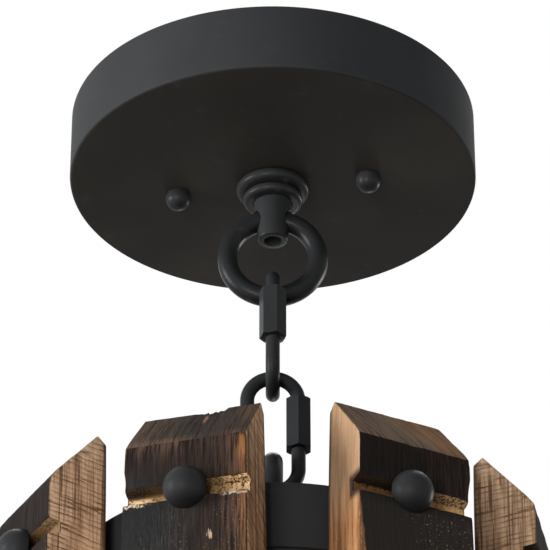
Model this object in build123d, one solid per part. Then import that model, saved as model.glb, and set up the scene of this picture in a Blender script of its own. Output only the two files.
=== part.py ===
"""Wooden chandelier of barrel staves, hung from a ceiling canopy by a ring and two screw links.

Eight barrel staves stand with their charred inner side outwards round a steel hub drum. Ball bolts in the
groove near each end hold them: at the top to the drum, at the bottom to a steel hoop. A stem under the drum
carries four lamps. Millimetres, +Z up, origin at the middle of the canopy's ceiling face.
"""
from build123d import *
from math import cos, degrees, radians, sin, sqrt
import os

# Canopy and its fixings
CANOPY_DIA = 187.0
CANOPY_HEIGHT = 33.0
CANOPY_WALL = 1.5
CANOPY_EDGE_RADIUS = 1.2
CANOPY_TURN = -9.8
STUD_SPACING = 88.9
STUD_DIA = 4.1
STUD_HOLE_CLEARANCE = 0.25
STUD_END = 4.0
BALL_NUT_DIA = 11.6
BALL_NUT_DROP = 2.6
CROSSBAR_LENGTH = 112.0
CROSSBAR_WIDTH = 25.0
CROSSBAR_THICK = 2.5
BOX_HOLE_SPACING = 69.85
BOX_HOLE_DIA = 5.0

# Hanger: nipple, collar and the neck that holds the ring
NIPPLE_DIA = 13.0
NIPPLE_BORE = 9.0
NIPPLE_CLEARANCE = 0.2
LOCKNUT_FLATS = 19.0
LOCKNUT_THICK = 5.0
COLLAR_DIA = 33.6
COLLAR_STEP_DIA = 27.4
COLLAR_FLANGE = 6.0
COLLAR_STEP = 5.0
COLLAR_EDGE_RADIUS = 1.8
NECK_TOP_DIA = 17.8
NECK_END_DIA = 13.6
NECK_LENGTH = 19.6
NECK_SOCKET = 12.0
NECK_SHANK_RISE = 10.0
CORD_HOLE_DIA = 8.4
CORD_HOLE_DEPTH = 6.5

# Ring and screw links
RING_WIRE = 9.2
RING_CENTRE_RADIUS = 20.6
RING_DROP = 8.5
RING_CLEARANCE = 0.45
RING_SWING = 30.0
LINK_WIRE = 6.35
LINK_WIDTH = 29.0
LINK_LENGTH = 63.6
LINK_GAP = 7.0
LINK_STUB = 2.0
LINK_NUT_FLATS = 10.7
LINK_NUT_LENGTH = 25.0
LINK_NUT_CLEARANCE = 0.1
LINK_NUT_EDGE = 0.9
CHAIN_GAP = 0.3

# Hub: eye, cover and drum
EYE_THICK = 9.0
EYE_RIM = 13.5
EYE_HOLE_DIA = 15.0
EYE_SHANK_DIA = 14.0
EYE_FLANGE_DIA = 26.0
EYE_FLANGE = 5.0
EYE_STUD_DIA = 12.0
EYE_HEIGHT = 59.0
EYE_NUT_FLATS = 19.0
EYE_NUT_THICK = 10.0
EYE_WASHER_DIA = 40.0
EYE_WASHER = 2.5
STUD_PROUD = 3.0
COVER_DIA = 175.6
COVER_SKIRT = 30.0
COVER_WALL = 1.5
COVER_EDGE_RADIUS = 1.4
DRUM_HEIGHT = 62.0
DRUM_WALL = 1.5
DRUM_FLOOR = 2.0
DRUM_EDGE_RADIUS = 1.4
SHELL_GAP = 0.3

# Staves
STAVE_TURN = -17.0
STAVE_PLACES = (0.0, 45.0, 95.0, 139.0, 183.0, 227.0, 271.0, 315.0)
STAVE_LIFTS = (0.0, 2.7, 5.0, 0.8, 1.9, 0.4, 1.6, 2.0)
STAVE_SHIFTS = (-0.6, 2.7, 0.5, -0.8, 0.9, -0.4, 0.6, 0.5)
STAVE_LENGTH = 880.0
STAVE_THICK = 26.5
STAVE_END_WIDTH = 49.0
STAVE_MIDDLE_WIDTH = 60.0
STAVE_BEND_RADIUS = 2000.0
STAVE_STANDOFF = 3.7
STAVE_TOP_RISE = 30.6
CHIME_HEIGHT = 24.8
CHIME_CREST = 4.0
CHIME_BACK_DROP = 4.0
GROOVE_FROM_END = 47.8
GROOVE_MOUTH = 7.5
GROOVE_ROOT = 5.0
GROOVE_DEPTH = 6.0

# Ball bolts
BALL_DIA = 17.8
BALL_PROUD = 1.0
BOLT_DIA = 8.0
BOLT_CLEARANCE = 0.25
BOLT_SEAT_GAP = 0.1
BOLT_END = 3.0
SPACER_DIA = 18.0
WASHER_DIA = 17.0
WASHER = 1.6
WASHER_SEAT_GAP = 0.45
BOLT_NUT_FLATS = 13.0
BOLT_NUT_THICK = 6.5

# Lower hoop
HOOP_WIDTH = 40.0
HOOP_THICK = 3.0
HOOP_GAP = 0.3

# Lamps
LAMP_COUNT = 4
STEM_DIA = 13.0
STEM_BORE = 9.5
STEM_DROP = 250.0
STEM_COLLAR_DIA = 34.0
STEM_COLLAR = 9.0
CLUSTER_DIA = 150.0
CLUSTER_HEIGHT = 30.0
CLUSTER_RIM = 12.0
LAMP_RADIUS = 48.0
HOLDER_DIA = 38.0
HOLDER_LENGTH = 52.0
HOLDER_WALL = 1.5
HOLDER_ROOF = 18.0
BULB_CAP_DIA = 26.0
BULB_CAP_LENGTH = 25.0
BULB_CAP_GAP = 0.3
BULB_DIA = 62.0
BULB_LENGTH = 88.0
BULB_NECK_DIA = 27.0
BULB_GLASS = 1.0
FINIAL_DIA = 22.0
FINIAL_STEM = 12.0

# Levels worked out from the sizes above
CANOPY_FACE = -CANOPY_HEIGHT
CROSSBAR_LOW = -CROSSBAR_THICK
COLLAR_LOW = CANOPY_FACE - COLLAR_FLANGE - COLLAR_STEP
NECK_END = COLLAR_LOW - NECK_LENGTH
SHANK_TOP = CANOPY_FACE + CANOPY_WALL + NECK_SHANK_RISE
SHANK_HOLE_DIA = NECK_TOP_DIA + 2 * NIPPLE_CLEARANCE
RING_TOP = COLLAR_LOW - RING_DROP
RING_MIDDLE = RING_TOP - RING_CENTRE_RADIUS
RING_LOW = RING_MIDDLE - RING_CENTRE_RADIUS
LINK_PITCH = LINK_LENGTH - LINK_WIRE
LINK_BOW = (LINK_WIDTH - LINK_WIRE) / 2
LINK_STRAIGHT = LINK_PITCH - 2 * LINK_BOW
UPPER_LINK_TOP = RING_LOW + RING_WIRE / 2 + LINK_WIRE / 2 + CHAIN_GAP
UPPER_LINK_LOW = UPPER_LINK_TOP - LINK_PITCH
LOWER_LINK_TOP = UPPER_LINK_LOW + LINK_WIRE + CHAIN_GAP
LOWER_LINK_LOW = LOWER_LINK_TOP - LINK_PITCH
EYE_RIM_LOW = LOWER_LINK_LOW + LINK_WIRE / 2 + CHAIN_GAP
EYE_PIVOT = EYE_RIM_LOW + EYE_THICK / 2
EYE_TOP = EYE_RIM_LOW + EYE_RIM
EYE_CENTRE = EYE_RIM_LOW - EYE_HOLE_DIA / 2
COVER_TOP = EYE_TOP - EYE_HEIGHT
COVER_UNDER = COVER_TOP - COVER_WALL
DRUM_RIM = COVER_UNDER - SHELL_GAP
DRUM_LOW = DRUM_RIM - DRUM_HEIGHT
DRUM_FLOOR_TOP = DRUM_LOW + DRUM_FLOOR
COVER_RADIUS = COVER_DIA / 2
DRUM_RADIUS = COVER_RADIUS - COVER_WALL - SHELL_GAP
DRUM_INSIDE = DRUM_RADIUS - DRUM_WALL
STAVE_BACK = COVER_RADIUS + STAVE_STANDOFF
STAVE_FRONT = STAVE_BACK + STAVE_THICK
STAVE_TOP = COVER_TOP + STAVE_TOP_RISE
BOLT_LEVEL = STAVE_TOP - GROOVE_FROM_END
BACK_RADIUS = STAVE_BEND_RADIUS + STAVE_THICK
BEND_CENTRE = STAVE_BACK + BACK_RADIUS
LOWER_BOLT_ANGLE = (STAVE_LENGTH - 2 * GROOVE_FROM_END) / BACK_RADIUS
BOLT_HOLE_DIA = BOLT_DIA + 2 * BOLT_CLEARANCE
STEM_LOW = DRUM_LOW - STEM_DROP
CLUSTER_LOW = STEM_LOW
CLUSTER_TOP = CLUSTER_LOW + CLUSTER_HEIGHT
HOLDER_TOP = CLUSTER_LOW
HOLDER_LOW = HOLDER_TOP - HOLDER_LENGTH
BULB_TOP = HOLDER_TOP - HOLDER_ROOF - BULB_CAP_GAP
FRONT = -90.0


def turned(*outline):
    """A solid turned about Z from an outline of (radius, height) points."""
    edge = Polyline(*[(r, 0, z) for r, z in outline], close=True)
    return revolve(make_face(edge.edges()), Axis.Z)


def rod(dia, low, high):
    """A round rod on the Z axis between two levels."""
    return Pos(0, 0, (low + high) / 2) * Cylinder(dia / 2, high - low)


def tube(outer, inner, low, high):
    """A round tube on the Z axis between two levels."""
    return rod(outer, low, high) - rod(inner, low - 1, high + 1)


def hexagon(flats, bore, low, high):
    """A hexagon nut on the Z axis, flats facing X, with a plain bore."""
    block = extrude(RegularPolygon(flats / sqrt(3), 6, rotation=30), high - low)
    return Pos(0, 0, low) * block - rod(bore, low - 1, high + 1)


def outward(angle, radius, level, tilt=0.0):
    """A place at an angle round Z whose local Z points outwards, tilted up by tilt."""
    turn = radians(angle)
    pointing = (cos(tilt) * cos(turn), cos(tilt) * sin(turn), sin(tilt))
    origin = (radius * cos(turn), radius * sin(turn), level)
    return Plane(origin=origin, z_dir=pointing, x_dir=(-sin(turn), cos(turn), 0)).location


# Canopy
def stud_places():
    """Where the two canopy studs stand."""
    return [Rot(0, 0, CANOPY_TURN) * Pos(side * STUD_SPACING / 2, 0, 0) for side in (-1, 1)]


def make_canopy():
    """Spun steel pan, open to the ceiling."""
    pan = rod(CANOPY_DIA, CANOPY_FACE, 0)
    pan = fillet(pan.edges().group_by(Axis.Z)[0], CANOPY_EDGE_RADIUS)
    pan -= rod(CANOPY_DIA - 2 * CANOPY_WALL, CANOPY_FACE + CANOPY_WALL, 1)
    pan -= rod(SHANK_HOLE_DIA, CANOPY_FACE - 1, 0)
    for place in stud_places():
        pan -= place * rod(STUD_DIA + 2 * STUD_HOLE_CLEARANCE, CANOPY_FACE - 1, 0)
    return pan


def make_crossbar():
    """Flat steel bar that screws to the ceiling box and carries the nipple and the studs."""
    bar = extrude(SlotOverall(CROSSBAR_LENGTH, CROSSBAR_WIDTH), CROSSBAR_THICK)
    bar = Pos(0, 0, CROSSBAR_LOW) * bar
    bar -= rod(NIPPLE_DIA + 2 * NIPPLE_CLEARANCE, CROSSBAR_LOW - 1, 1)
    for side in (-1, 1):
        bar -= Pos(side * BOX_HOLE_SPACING / 2, 0, 0) * rod(BOX_HOLE_DIA, CROSSBAR_LOW - 1, 1)
        stud_hole = rod(STUD_DIA + 2 * STUD_HOLE_CLEARANCE, CROSSBAR_LOW - 1, 1)
        bar -= Pos(side * STUD_SPACING / 2, 0, 0) * stud_hole
    return Rot(0, 0, CANOPY_TURN) * bar


def make_canopy_studs():
    """Two threaded studs from the crossbar down to the ball nuts."""
    stud = rod(STUD_DIA, CANOPY_FACE - STUD_END, 0)
    return Compound([place * stud for place in stud_places()])


def make_canopy_ball_nuts():
    """Two ball nuts with flat seats that hold the canopy up."""
    nut = Pos(0, 0, CANOPY_FACE - BALL_NUT_DROP) * Sphere(BALL_NUT_DIA / 2)
    nut &= rod(BALL_NUT_DIA * 2, CANOPY_FACE - 2 * BALL_NUT_DIA, CANOPY_FACE)
    nut -= rod(STUD_DIA, CANOPY_FACE - STUD_END, 0)
    return Compound([place * nut for place in stud_places()])


# Hanger
def make_nipple():
    """Hollow threaded rod from the crossbar down into the neck's shank."""
    return tube(NIPPLE_DIA, NIPPLE_BORE, SHANK_TOP - NECK_SOCKET, 0)


def make_locknuts():
    """Hexagon nuts on the nipple, under the crossbar and on the neck's shank."""
    bore = NIPPLE_DIA + 2 * NIPPLE_CLEARANCE
    under_bar = hexagon(LOCKNUT_FLATS, bore, CROSSBAR_LOW - LOCKNUT_THICK, CROSSBAR_LOW)
    on_shank = hexagon(LOCKNUT_FLATS, bore, SHANK_TOP, SHANK_TOP + LOCKNUT_THICK)
    return Compound([under_bar, on_shank])


def rounded_disc(dia, low, high):
    """A disc with its lower edge rounded."""
    disc = rod(dia, low, high)
    return fillet(disc.edges().group_by(Axis.Z)[0], COLLAR_EDGE_RADIUS)


def make_collar():
    """Stepped collar turned from bar, seated under the canopy."""
    flange_low = CANOPY_FACE - COLLAR_FLANGE
    collar = rounded_disc(COLLAR_DIA, flange_low, CANOPY_FACE)
    collar += rounded_disc(COLLAR_STEP_DIA, COLLAR_LOW, flange_low)
    return collar - rod(SHANK_HOLE_DIA, COLLAR_LOW - 1, CANOPY_FACE + 1)


def ring_cutter():
    """The cross bore, flared below as far as the ring swings about X in it."""
    bore = RING_WIRE / 2 + RING_CLEARANCE
    cutter = Rot(0, 90, 0) * Cylinder(bore, 2 * NECK_TOP_DIA)
    for part in (-1, -0.5, 0, 0.5, 1):
        swung = Rot(90, 0, 0) * Torus(RING_CENTRE_RADIUS, bore)
        cutter += Rot(part * (RING_SWING + 1), 0, 0) * Pos(0, 0, -RING_CENTRE_RADIUS) * swung
    return Pos(0, 0, RING_TOP) * cutter


def make_neck():
    """Neck with a shank up through the collar, cross bored for the ring, with a cord outlet in its end."""
    top, end = NECK_TOP_DIA / 2, NECK_END_DIA / 2
    socket = NIPPLE_DIA / 2 + NIPPLE_CLEARANCE
    neck = turned((0, SHANK_TOP), (top, SHANK_TOP), (top, COLLAR_LOW), (end, NECK_END), (0, NECK_END))
    neck = fillet(neck.edges().group_by(Axis.Z)[0], NECK_END_DIA * 0.06)
    neck -= rod(2 * socket, SHANK_TOP - NECK_SOCKET, SHANK_TOP + 1)
    neck -= rod(CORD_HOLE_DIA, NECK_END - 1, NECK_END + CORD_HOLE_DEPTH)
    return neck - ring_cutter()


# Ring and screw links
def make_ring():
    """Welded round ring that hangs in the neck, facing the front."""
    return Pos(0, 0, RING_MIDDLE) * Rot(90, 0, 0) * Torus(RING_CENTRE_RADIUS, RING_WIRE / 2)


def link_body(top):
    """Screw link in the XZ plane with its gap at the upper end of the +X leg."""
    high = top - LINK_BOW
    low = high - LINK_STRAIGHT
    stub_end = high - LINK_STUB
    rod_end = stub_end - LINK_GAP
    upper = Line((LINK_BOW, 0, stub_end), (LINK_BOW, 0, high))
    over = ThreePointArc((LINK_BOW, 0, high), (0, 0, top), (-LINK_BOW, 0, high))
    back = Line((-LINK_BOW, 0, high), (-LINK_BOW, 0, low))
    under = ThreePointArc((-LINK_BOW, 0, low), (0, 0, low - LINK_BOW), (LINK_BOW, 0, low))
    lower = Line((LINK_BOW, 0, low), (LINK_BOW, 0, rod_end))
    path = Wire([upper.edge(), over.edge(), back.edge(), under.edge(), lower.edge()])
    start = Plane(origin=(LINK_BOW, 0, stub_end), z_dir=(0, 0, 1))
    return sweep(start * Circle(LINK_WIRE / 2), path)


def link_nut(top):
    """Hexagon sleeve nut that closes the gap, at the upper end of its leg."""
    high = top - LINK_BOW
    low = high - LINK_NUT_LENGTH
    nut = hexagon(LINK_NUT_FLATS, LINK_WIRE + 2 * LINK_NUT_CLEARANCE, low, high)
    corner = LINK_NUT_FLATS / sqrt(3)
    face = corner - LINK_NUT_EDGE
    nut &= turned(
        (0, low), (face, low), (corner, low + LINK_NUT_EDGE), (corner, high - LINK_NUT_EDGE), (face, high), (0, high)
    )
    return Pos(LINK_BOW, 0, 0) * nut


def upper_turn():
    """The upper link stands edge on to the front, with its nut towards the front."""
    return Rot(0, 0, FRONT)


# Hub
def make_eye():
    """Forged eye with a flange and a threaded stud."""
    flat = EYE_RIM - EYE_THICK
    outer_radius = EYE_HOLE_DIA / 2 + EYE_RIM
    middle = EYE_HOLE_DIA / 2 + EYE_RIM / 2
    section = Plane.XZ * Pos(0, middle) * SlotOverall(EYE_RIM, EYE_THICK, rotation=90)
    if flat <= 0:
        section = Plane.XZ * Pos(0, middle) * Circle(EYE_RIM / 2)
    eye = Pos(0, 0, EYE_CENTRE) * revolve(section, Axis.X)
    shank = rod(EYE_SHANK_DIA, COVER_TOP, EYE_CENTRE)
    hole = Pos(0, 0, EYE_CENTRE) * Rot(0, 90, 0) * Cylinder(outer_radius - EYE_RIM / 2, 4 * EYE_THICK)
    eye += shank - hole
    eye += rod(EYE_FLANGE_DIA, COVER_TOP, COVER_TOP + EYE_FLANGE)
    stud_low = COVER_UNDER - EYE_WASHER - EYE_NUT_THICK - STUD_PROUD
    return eye + rod(EYE_STUD_DIA, stud_low, COVER_TOP)


def make_eye_washer():
    """Wide washer that spreads the load under the cover."""
    hole = EYE_STUD_DIA + 2 * BOLT_CLEARANCE
    return tube(EYE_WASHER_DIA, hole, COVER_UNDER - EYE_WASHER, COVER_UNDER)


def make_eye_nut():
    """Hexagon nut on the eye's stud."""
    high = COVER_UNDER - EYE_WASHER
    return hexagon(EYE_NUT_FLATS, EYE_STUD_DIA, high - EYE_NUT_THICK, high)


def stave_angles():
    """The angle of each stave round Z; the first is nearest the front on its left."""
    return [FRONT + STAVE_TURN + place for place in STAVE_PLACES]


def upper_bolt_places(radius):
    """Where the upper ball bolts cross that radius, pointing outwards; old staves sit at uneven heights."""
    return [outward(angle, radius, BOLT_LEVEL + lift) for angle, lift in zip(stave_angles(), STAVE_LIFTS)]


def bolt_holes():
    """Round bars where the upper ball bolts pass through the hub's walls."""
    hole = Cylinder(BOLT_HOLE_DIA / 2, COVER_DIA)
    return [place * hole for place in upper_bolt_places(COVER_RADIUS)]


def wall_holes(radius):
    """The bolt holes, kept to the outer half of the hub so that they don't cross its middle."""
    core = rod(radius, DRUM_LOW - 1, COVER_TOP + 1)
    return [hole - core for hole in bolt_holes()]


def make_hub_cover():
    """Spun cap that closes the drum and takes the hub's load."""
    cap = rod(COVER_DIA, COVER_TOP - COVER_SKIRT, COVER_TOP)
    cap = fillet(cap.edges().group_by(Axis.Z)[-1], COVER_EDGE_RADIUS)
    cap -= rod(COVER_DIA - 2 * COVER_WALL, COVER_TOP - COVER_SKIRT - 1, COVER_UNDER)
    cap -= rod(EYE_STUD_DIA + 2 * BOLT_CLEARANCE, COVER_UNDER - 1, COVER_TOP + 1)
    for hole in wall_holes(COVER_RADIUS):
        cap -= hole
    return cap


def make_hub_drum():
    """Spun pan that holds the wiring, with the stem's hole in its floor."""
    pan = rod(2 * DRUM_RADIUS, DRUM_LOW, DRUM_RIM)
    pan = fillet(pan.edges().group_by(Axis.Z)[0], DRUM_EDGE_RADIUS)
    pan -= rod(2 * DRUM_INSIDE, DRUM_FLOOR_TOP, DRUM_RIM + 1)
    pan -= rod(STEM_DIA + 2 * NIPPLE_CLEARANCE, DRUM_LOW - 1, DRUM_FLOOR_TOP + 1)
    for hole in wall_holes(DRUM_RADIUS):
        pan -= hole
    return pan


# Staves
def along_stave(from_end, depth):
    """(radius, height) of a point on the stave, by distance from its top end and depth behind its front."""
    bend = (from_end - GROOVE_FROM_END) / BACK_RADIUS
    radius = STAVE_BEND_RADIUS + depth
    return BEND_CENTRE - radius * cos(bend), BOLT_LEVEL - radius * sin(bend)


def stave_outline():
    """The stave seen from its edge: bent faces, a chime and a groove at both ends."""
    half_mouth, half_root = GROOVE_MOUTH / 2, GROOVE_ROOT / 2
    end = [
        (0, STAVE_THICK - CHIME_CREST), (CHIME_HEIGHT, 0), (GROOVE_FROM_END - half_mouth, 0),
        (GROOVE_FROM_END - half_root, GROOVE_DEPTH), (GROOVE_FROM_END + half_root, GROOVE_DEPTH),
        (GROOVE_FROM_END + half_mouth, 0),
    ]
    far_end = [(STAVE_LENGTH - s, d) for s, d in reversed(end)]
    back = [(STAVE_LENGTH - CHIME_BACK_DROP, STAVE_THICK), (CHIME_BACK_DROP, STAVE_THICK)]
    corners = end + far_end + back
    edges = []
    for (s0, d0), (s1, d1) in zip(corners, corners[1:] + corners[:1]):
        a, b = along_stave(s0, d0), along_stave(s1, d1)
        if d0 == d1 and abs(s1 - s0) > GROOVE_MOUTH:
            m = along_stave((s0 + s1) / 2, d0)
            edges.append(ThreePointArc((a[0], 0, a[1]), (m[0], 0, m[1]), (b[0], 0, b[1])).edge())
        else:
            edges.append(Line((a[0], 0, a[1]), (b[0], 0, b[1])).edge())
    return make_face(edges)


def stave_width_blank():
    """The stave's front: widest at the middle, narrow at both ends."""
    top = along_stave(0, 0)[1] + STAVE_THICK
    middle = along_stave(STAVE_LENGTH / 2, 0)[1]
    low = along_stave(STAVE_LENGTH, 0)[1] - STAVE_THICK
    end, wide = STAVE_END_WIDTH / 2, STAVE_MIDDLE_WIDTH / 2
    edges = [
        Line((0, -end, top), (0, end, top)).edge(),
        ThreePointArc((0, end, top), (0, wide, middle), (0, end, low)).edge(),
        Line((0, end, low), (0, -end, low)).edge(),
        ThreePointArc((0, -end, low), (0, -wide, middle), (0, -end, top)).edge(),
    ]
    reach = along_stave(STAVE_LENGTH, 0)[0] + STAVE_THICK
    return extrude(make_face(edges), reach, dir=(1, 0, 0))


def lower_bolt_place(angle, lift, depth):
    """Where a lower ball bolt sits, at a depth behind the stave's front, pointing outwards."""
    radius, level = along_stave(STAVE_LENGTH - GROOVE_FROM_END, depth)
    return outward(angle, radius, level + lift, tilt=LOWER_BOLT_ANGLE)


def lower_bolt_places(depth):
    """Where all the lower ball bolts sit."""
    return [lower_bolt_place(angle, lift, depth) for angle, lift in zip(stave_angles(), STAVE_LIFTS)]


def make_stave_blank():
    """One stave at angle 0, before it is bored."""
    bent = extrude(stave_outline(), STAVE_MIDDLE_WIDTH, both=True, dir=(0, 1, 0))
    return bent & stave_width_blank()


def make_stave(blank, shift):
    """A stave at angle 0, bored for its two ball bolts, which needn't be in its middle."""
    bore = Cylinder(BOLT_HOLE_DIA / 2, 3 * STAVE_THICK)
    stave = Pos(0, shift, 0) * blank
    stave -= outward(0, STAVE_FRONT, BOLT_LEVEL) * bore
    return stave - lower_bolt_place(0, 0, 0) * bore


# Ball bolts, built with local Z outwards and 0 at the stave's front
def ball_bolt(grip):
    """Ball headed bolt that grips that much behind the stave's front."""
    head = Pos(0, 0, BALL_PROUD) * Sphere(BALL_DIA / 2)
    head &= rod(2 * BALL_DIA, BOLT_SEAT_GAP, BALL_DIA)
    return head + rod(BOLT_DIA, -grip - WASHER - BOLT_NUT_THICK - BOLT_END, BOLT_SEAT_GAP)


def bolt_washer(grip):
    """Plain washer behind the wall."""
    return tube(WASHER_DIA, BOLT_HOLE_DIA, -grip - WASHER, -grip)


def bolt_nut(grip):
    """Hexagon nut behind the washer."""
    return hexagon(BOLT_NUT_FLATS, BOLT_DIA, -grip - WASHER - BOLT_NUT_THICK, -grip - WASHER)


def make_spacers():
    """Spacers between the hub's round wall and the flat backs of the staves."""
    ring = tube(SPACER_DIA, BOLT_HOLE_DIA, -STAVE_THICK - 2 * STAVE_STANDOFF, -STAVE_THICK - BOLT_SEAT_GAP)
    hub = rod(COVER_DIA + 2 * BOLT_SEAT_GAP, DRUM_LOW, COVER_TOP)
    return [place * ring - hub for place in upper_bolt_places(STAVE_FRONT)]


# Lower hoop
def make_lower_hoop():
    """Flared steel hoop inside the staves' lower ends."""
    first = STAVE_LENGTH - GROOVE_FROM_END - HOOP_WIDTH / 2
    near, far = STAVE_THICK + HOOP_GAP, STAVE_THICK + HOOP_GAP + HOOP_THICK
    corners = [(first, near), (first + HOOP_WIDTH, near), (first + HOOP_WIDTH, far), (first, far)]
    hoop = turned(*[along_stave(s, d) for s, d in corners])
    bore = Cylinder(BOLT_HOLE_DIA / 2, 4 * HOOP_THICK)
    for place in lower_bolt_places((near + far) / 2):
        hoop -= place * bore
    return hoop


# Lamps
def lamp_places():
    """Where the lamps hang under the cluster."""
    return [Rot(0, 0, (i + 0.5) * 360 / LAMP_COUNT) * Pos(LAMP_RADIUS, 0, 0) for i in range(LAMP_COUNT)]


def make_stem():
    """Hollow rod from the drum's floor to the lamp cluster."""
    return tube(STEM_DIA, STEM_BORE, STEM_LOW - FINIAL_STEM / 2, DRUM_FLOOR_TOP + LOCKNUT_THICK + STUD_PROUD)


def make_stem_nuts():
    """Hexagon nuts on the stem, on the drum's floor and on the cluster's crown."""
    bore = STEM_DIA + 2 * NIPPLE_CLEARANCE
    levels = (DRUM_FLOOR_TOP, CLUSTER_TOP)
    return Compound([hexagon(LOCKNUT_FLATS, bore, low, low + LOCKNUT_THICK) for low in levels])


def make_stem_collar():
    """Turned collar under the drum."""
    wide, narrow = STEM_COLLAR_DIA / 2, STEM_COLLAR_DIA / 2 - STEM_COLLAR * 0.6
    bore = STEM_DIA / 2 + NIPPLE_CLEARANCE
    low = DRUM_LOW - STEM_COLLAR
    return turned(
        (bore, DRUM_LOW), (wide, DRUM_LOW), (wide, DRUM_LOW - STEM_COLLAR * 0.4), (narrow, low), (bore, low)
    )


def make_cluster():
    """Closed turned housing that carries the lampholders."""
    rim, crown = CLUSTER_DIA / 2, LOCKNUT_FLATS
    bore = STEM_DIA / 2 + NIPPLE_CLEARANCE
    body = turned(
        (bore, CLUSTER_LOW), (rim, CLUSTER_LOW), (rim, CLUSTER_LOW + CLUSTER_RIM), (crown, CLUSTER_TOP), (bore, CLUSTER_TOP)
    )
    rims = [e for e in body.edges().filter_by(GeomType.CIRCLE) if e.radius > rim - 0.1]
    return fillet(rims, CLUSTER_RIM * 0.2)


def make_holder():
    """Lampholder: a steel cup with a thick roof, open below."""
    cup = rod(HOLDER_DIA, HOLDER_LOW, HOLDER_TOP)
    cup = fillet(cup.edges().group_by(Axis.Z)[-1], HOLDER_DIA * 0.2)
    return cup - rod(HOLDER_DIA - 2 * HOLDER_WALL, HOLDER_LOW - 1, HOLDER_TOP - HOLDER_ROOF)


def make_bulb_cap():
    """Screw cap of the bulb, inside the lampholder."""
    radius = BULB_CAP_DIA / 2
    contact = BULB_CAP_DIA / 4
    shoulder = BULB_TOP - BULB_CAP_LENGTH * 0.2
    low = BULB_TOP - BULB_CAP_LENGTH
    return turned((0, low), (radius, low), (radius, shoulder), (contact, BULB_TOP), (0, BULB_TOP))


def bulb_form(inset):
    """Pear shaped body of the bulb, inset from its outside."""
    high = BULB_TOP - BULB_CAP_LENGTH
    neck, wide = BULB_NECK_DIA / 2 - inset, BULB_DIA / 2 - inset
    low = high - BULB_LENGTH + inset
    middle = high - BULB_LENGTH + BULB_DIA / 2
    start, belly, foot = (neck, 0, high - inset), (wide, 0, middle), (0, 0, low)
    neck_curve = Spline(start, belly, tangents=[(0, 0, -1), (0, 0, -1)])
    bowl_middle = (wide * cos(radians(45)), 0, middle - wide * sin(radians(45)))
    bowl = ThreePointArc(belly, bowl_middle, foot)
    axis = Line(foot, (0, 0, high - inset))
    lid = Line((0, 0, high - inset), start)
    return revolve(make_face([neck_curve.edge(), bowl.edge(), axis.edge(), lid.edge()]), Axis.Z)


def make_bulb():
    """Blown glass bulb with a thin wall."""
    return bulb_form(0) - bulb_form(BULB_GLASS)


def make_finial():
    """Ball finial on the end of the stem."""
    low = CLUSTER_LOW - FINIAL_STEM
    ball = Pos(0, 0, low - FINIAL_DIA / 2 + FINIAL_STEM / 4) * Sphere(FINIAL_DIA / 2)
    finial = rod(STEM_COLLAR_DIA * 0.7, low, CLUSTER_LOW) + ball
    return finial - rod(STEM_DIA, CLUSTER_LOW - FINIAL_STEM / 2, CLUSTER_LOW + 1)


def assembly():
    """Every piece by the name of its node."""
    upper_grip = STAVE_FRONT - DRUM_INSIDE + WASHER_SEAT_GAP
    lower_grip = STAVE_THICK + HOOP_GAP + HOOP_THICK + WASHER_SEAT_GAP
    lower_grips = [lower_grip + lift * sin(LOWER_BOLT_ANGLE) for lift in STAVE_LIFTS]
    upper = upper_bolt_places(STAVE_FRONT)
    lower = list(zip(lower_bolt_places(0), lower_grips))
    pieces = {
        "canopy": make_canopy(),
        "crossbar": make_crossbar(),
        "canopy_studs": make_canopy_studs(),
        "canopy_ball_nuts": make_canopy_ball_nuts(),
        "hanger_nipple": make_nipple(),
        "nipple_locknuts": make_locknuts(),
        "hanger_collar": make_collar(),
        "hanger_neck": make_neck(),
        "hanging_ring": make_ring(),
        "upper_link": upper_turn() * link_body(UPPER_LINK_TOP),
        "upper_link_nut": upper_turn() * link_nut(UPPER_LINK_TOP),
        "lower_link": link_body(LOWER_LINK_TOP),
        "lower_link_nut": link_nut(LOWER_LINK_TOP),
        "hub_eye": make_eye(),
        "eye_washer": make_eye_washer(),
        "eye_nut": make_eye_nut(),
        "hub_cover": make_hub_cover(),
        "hub_drum": make_hub_drum(),
        "upper_ball_bolts": Compound([place * ball_bolt(upper_grip) for place in upper]),
        "upper_spacers": Compound(make_spacers()),
        "upper_washers": Compound([place * bolt_washer(upper_grip) for place in upper]),
        "upper_nuts": Compound([place * bolt_nut(upper_grip) for place in upper]),
        "lower_hoop": make_lower_hoop(),
        "lower_ball_bolts": Compound([place * ball_bolt(grip) for place, grip in lower]),
        "lower_washers": Compound([place * bolt_washer(grip) for place, grip in lower]),
        "lower_nuts": Compound([place * bolt_nut(grip) for place, grip in lower]),
        "lamp_stem": make_stem(),
        "stem_nuts": make_stem_nuts(),
        "stem_collar": make_stem_collar(),
        "lamp_cluster": make_cluster(),
        "finial": make_finial(),
    }
    blank = make_stave_blank()
    for number, (angle, lift, shift) in enumerate(zip(stave_angles(), STAVE_LIFTS, STAVE_SHIFTS), 1):
        pieces[f"stave_{number}"] = Rot(0, 0, angle) * Pos(0, 0, lift) * make_stave(blank, shift)
    holder, cap, bulb = make_holder(), make_bulb_cap(), make_bulb()
    for number, place in enumerate(lamp_places(), 1):
        pieces[f"lampholder_{number}"] = place * holder
        pieces[f"bulb_cap_{number}"] = place * cap
        pieces[f"bulb_{number}"] = place * bulb
    return pieces


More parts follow.
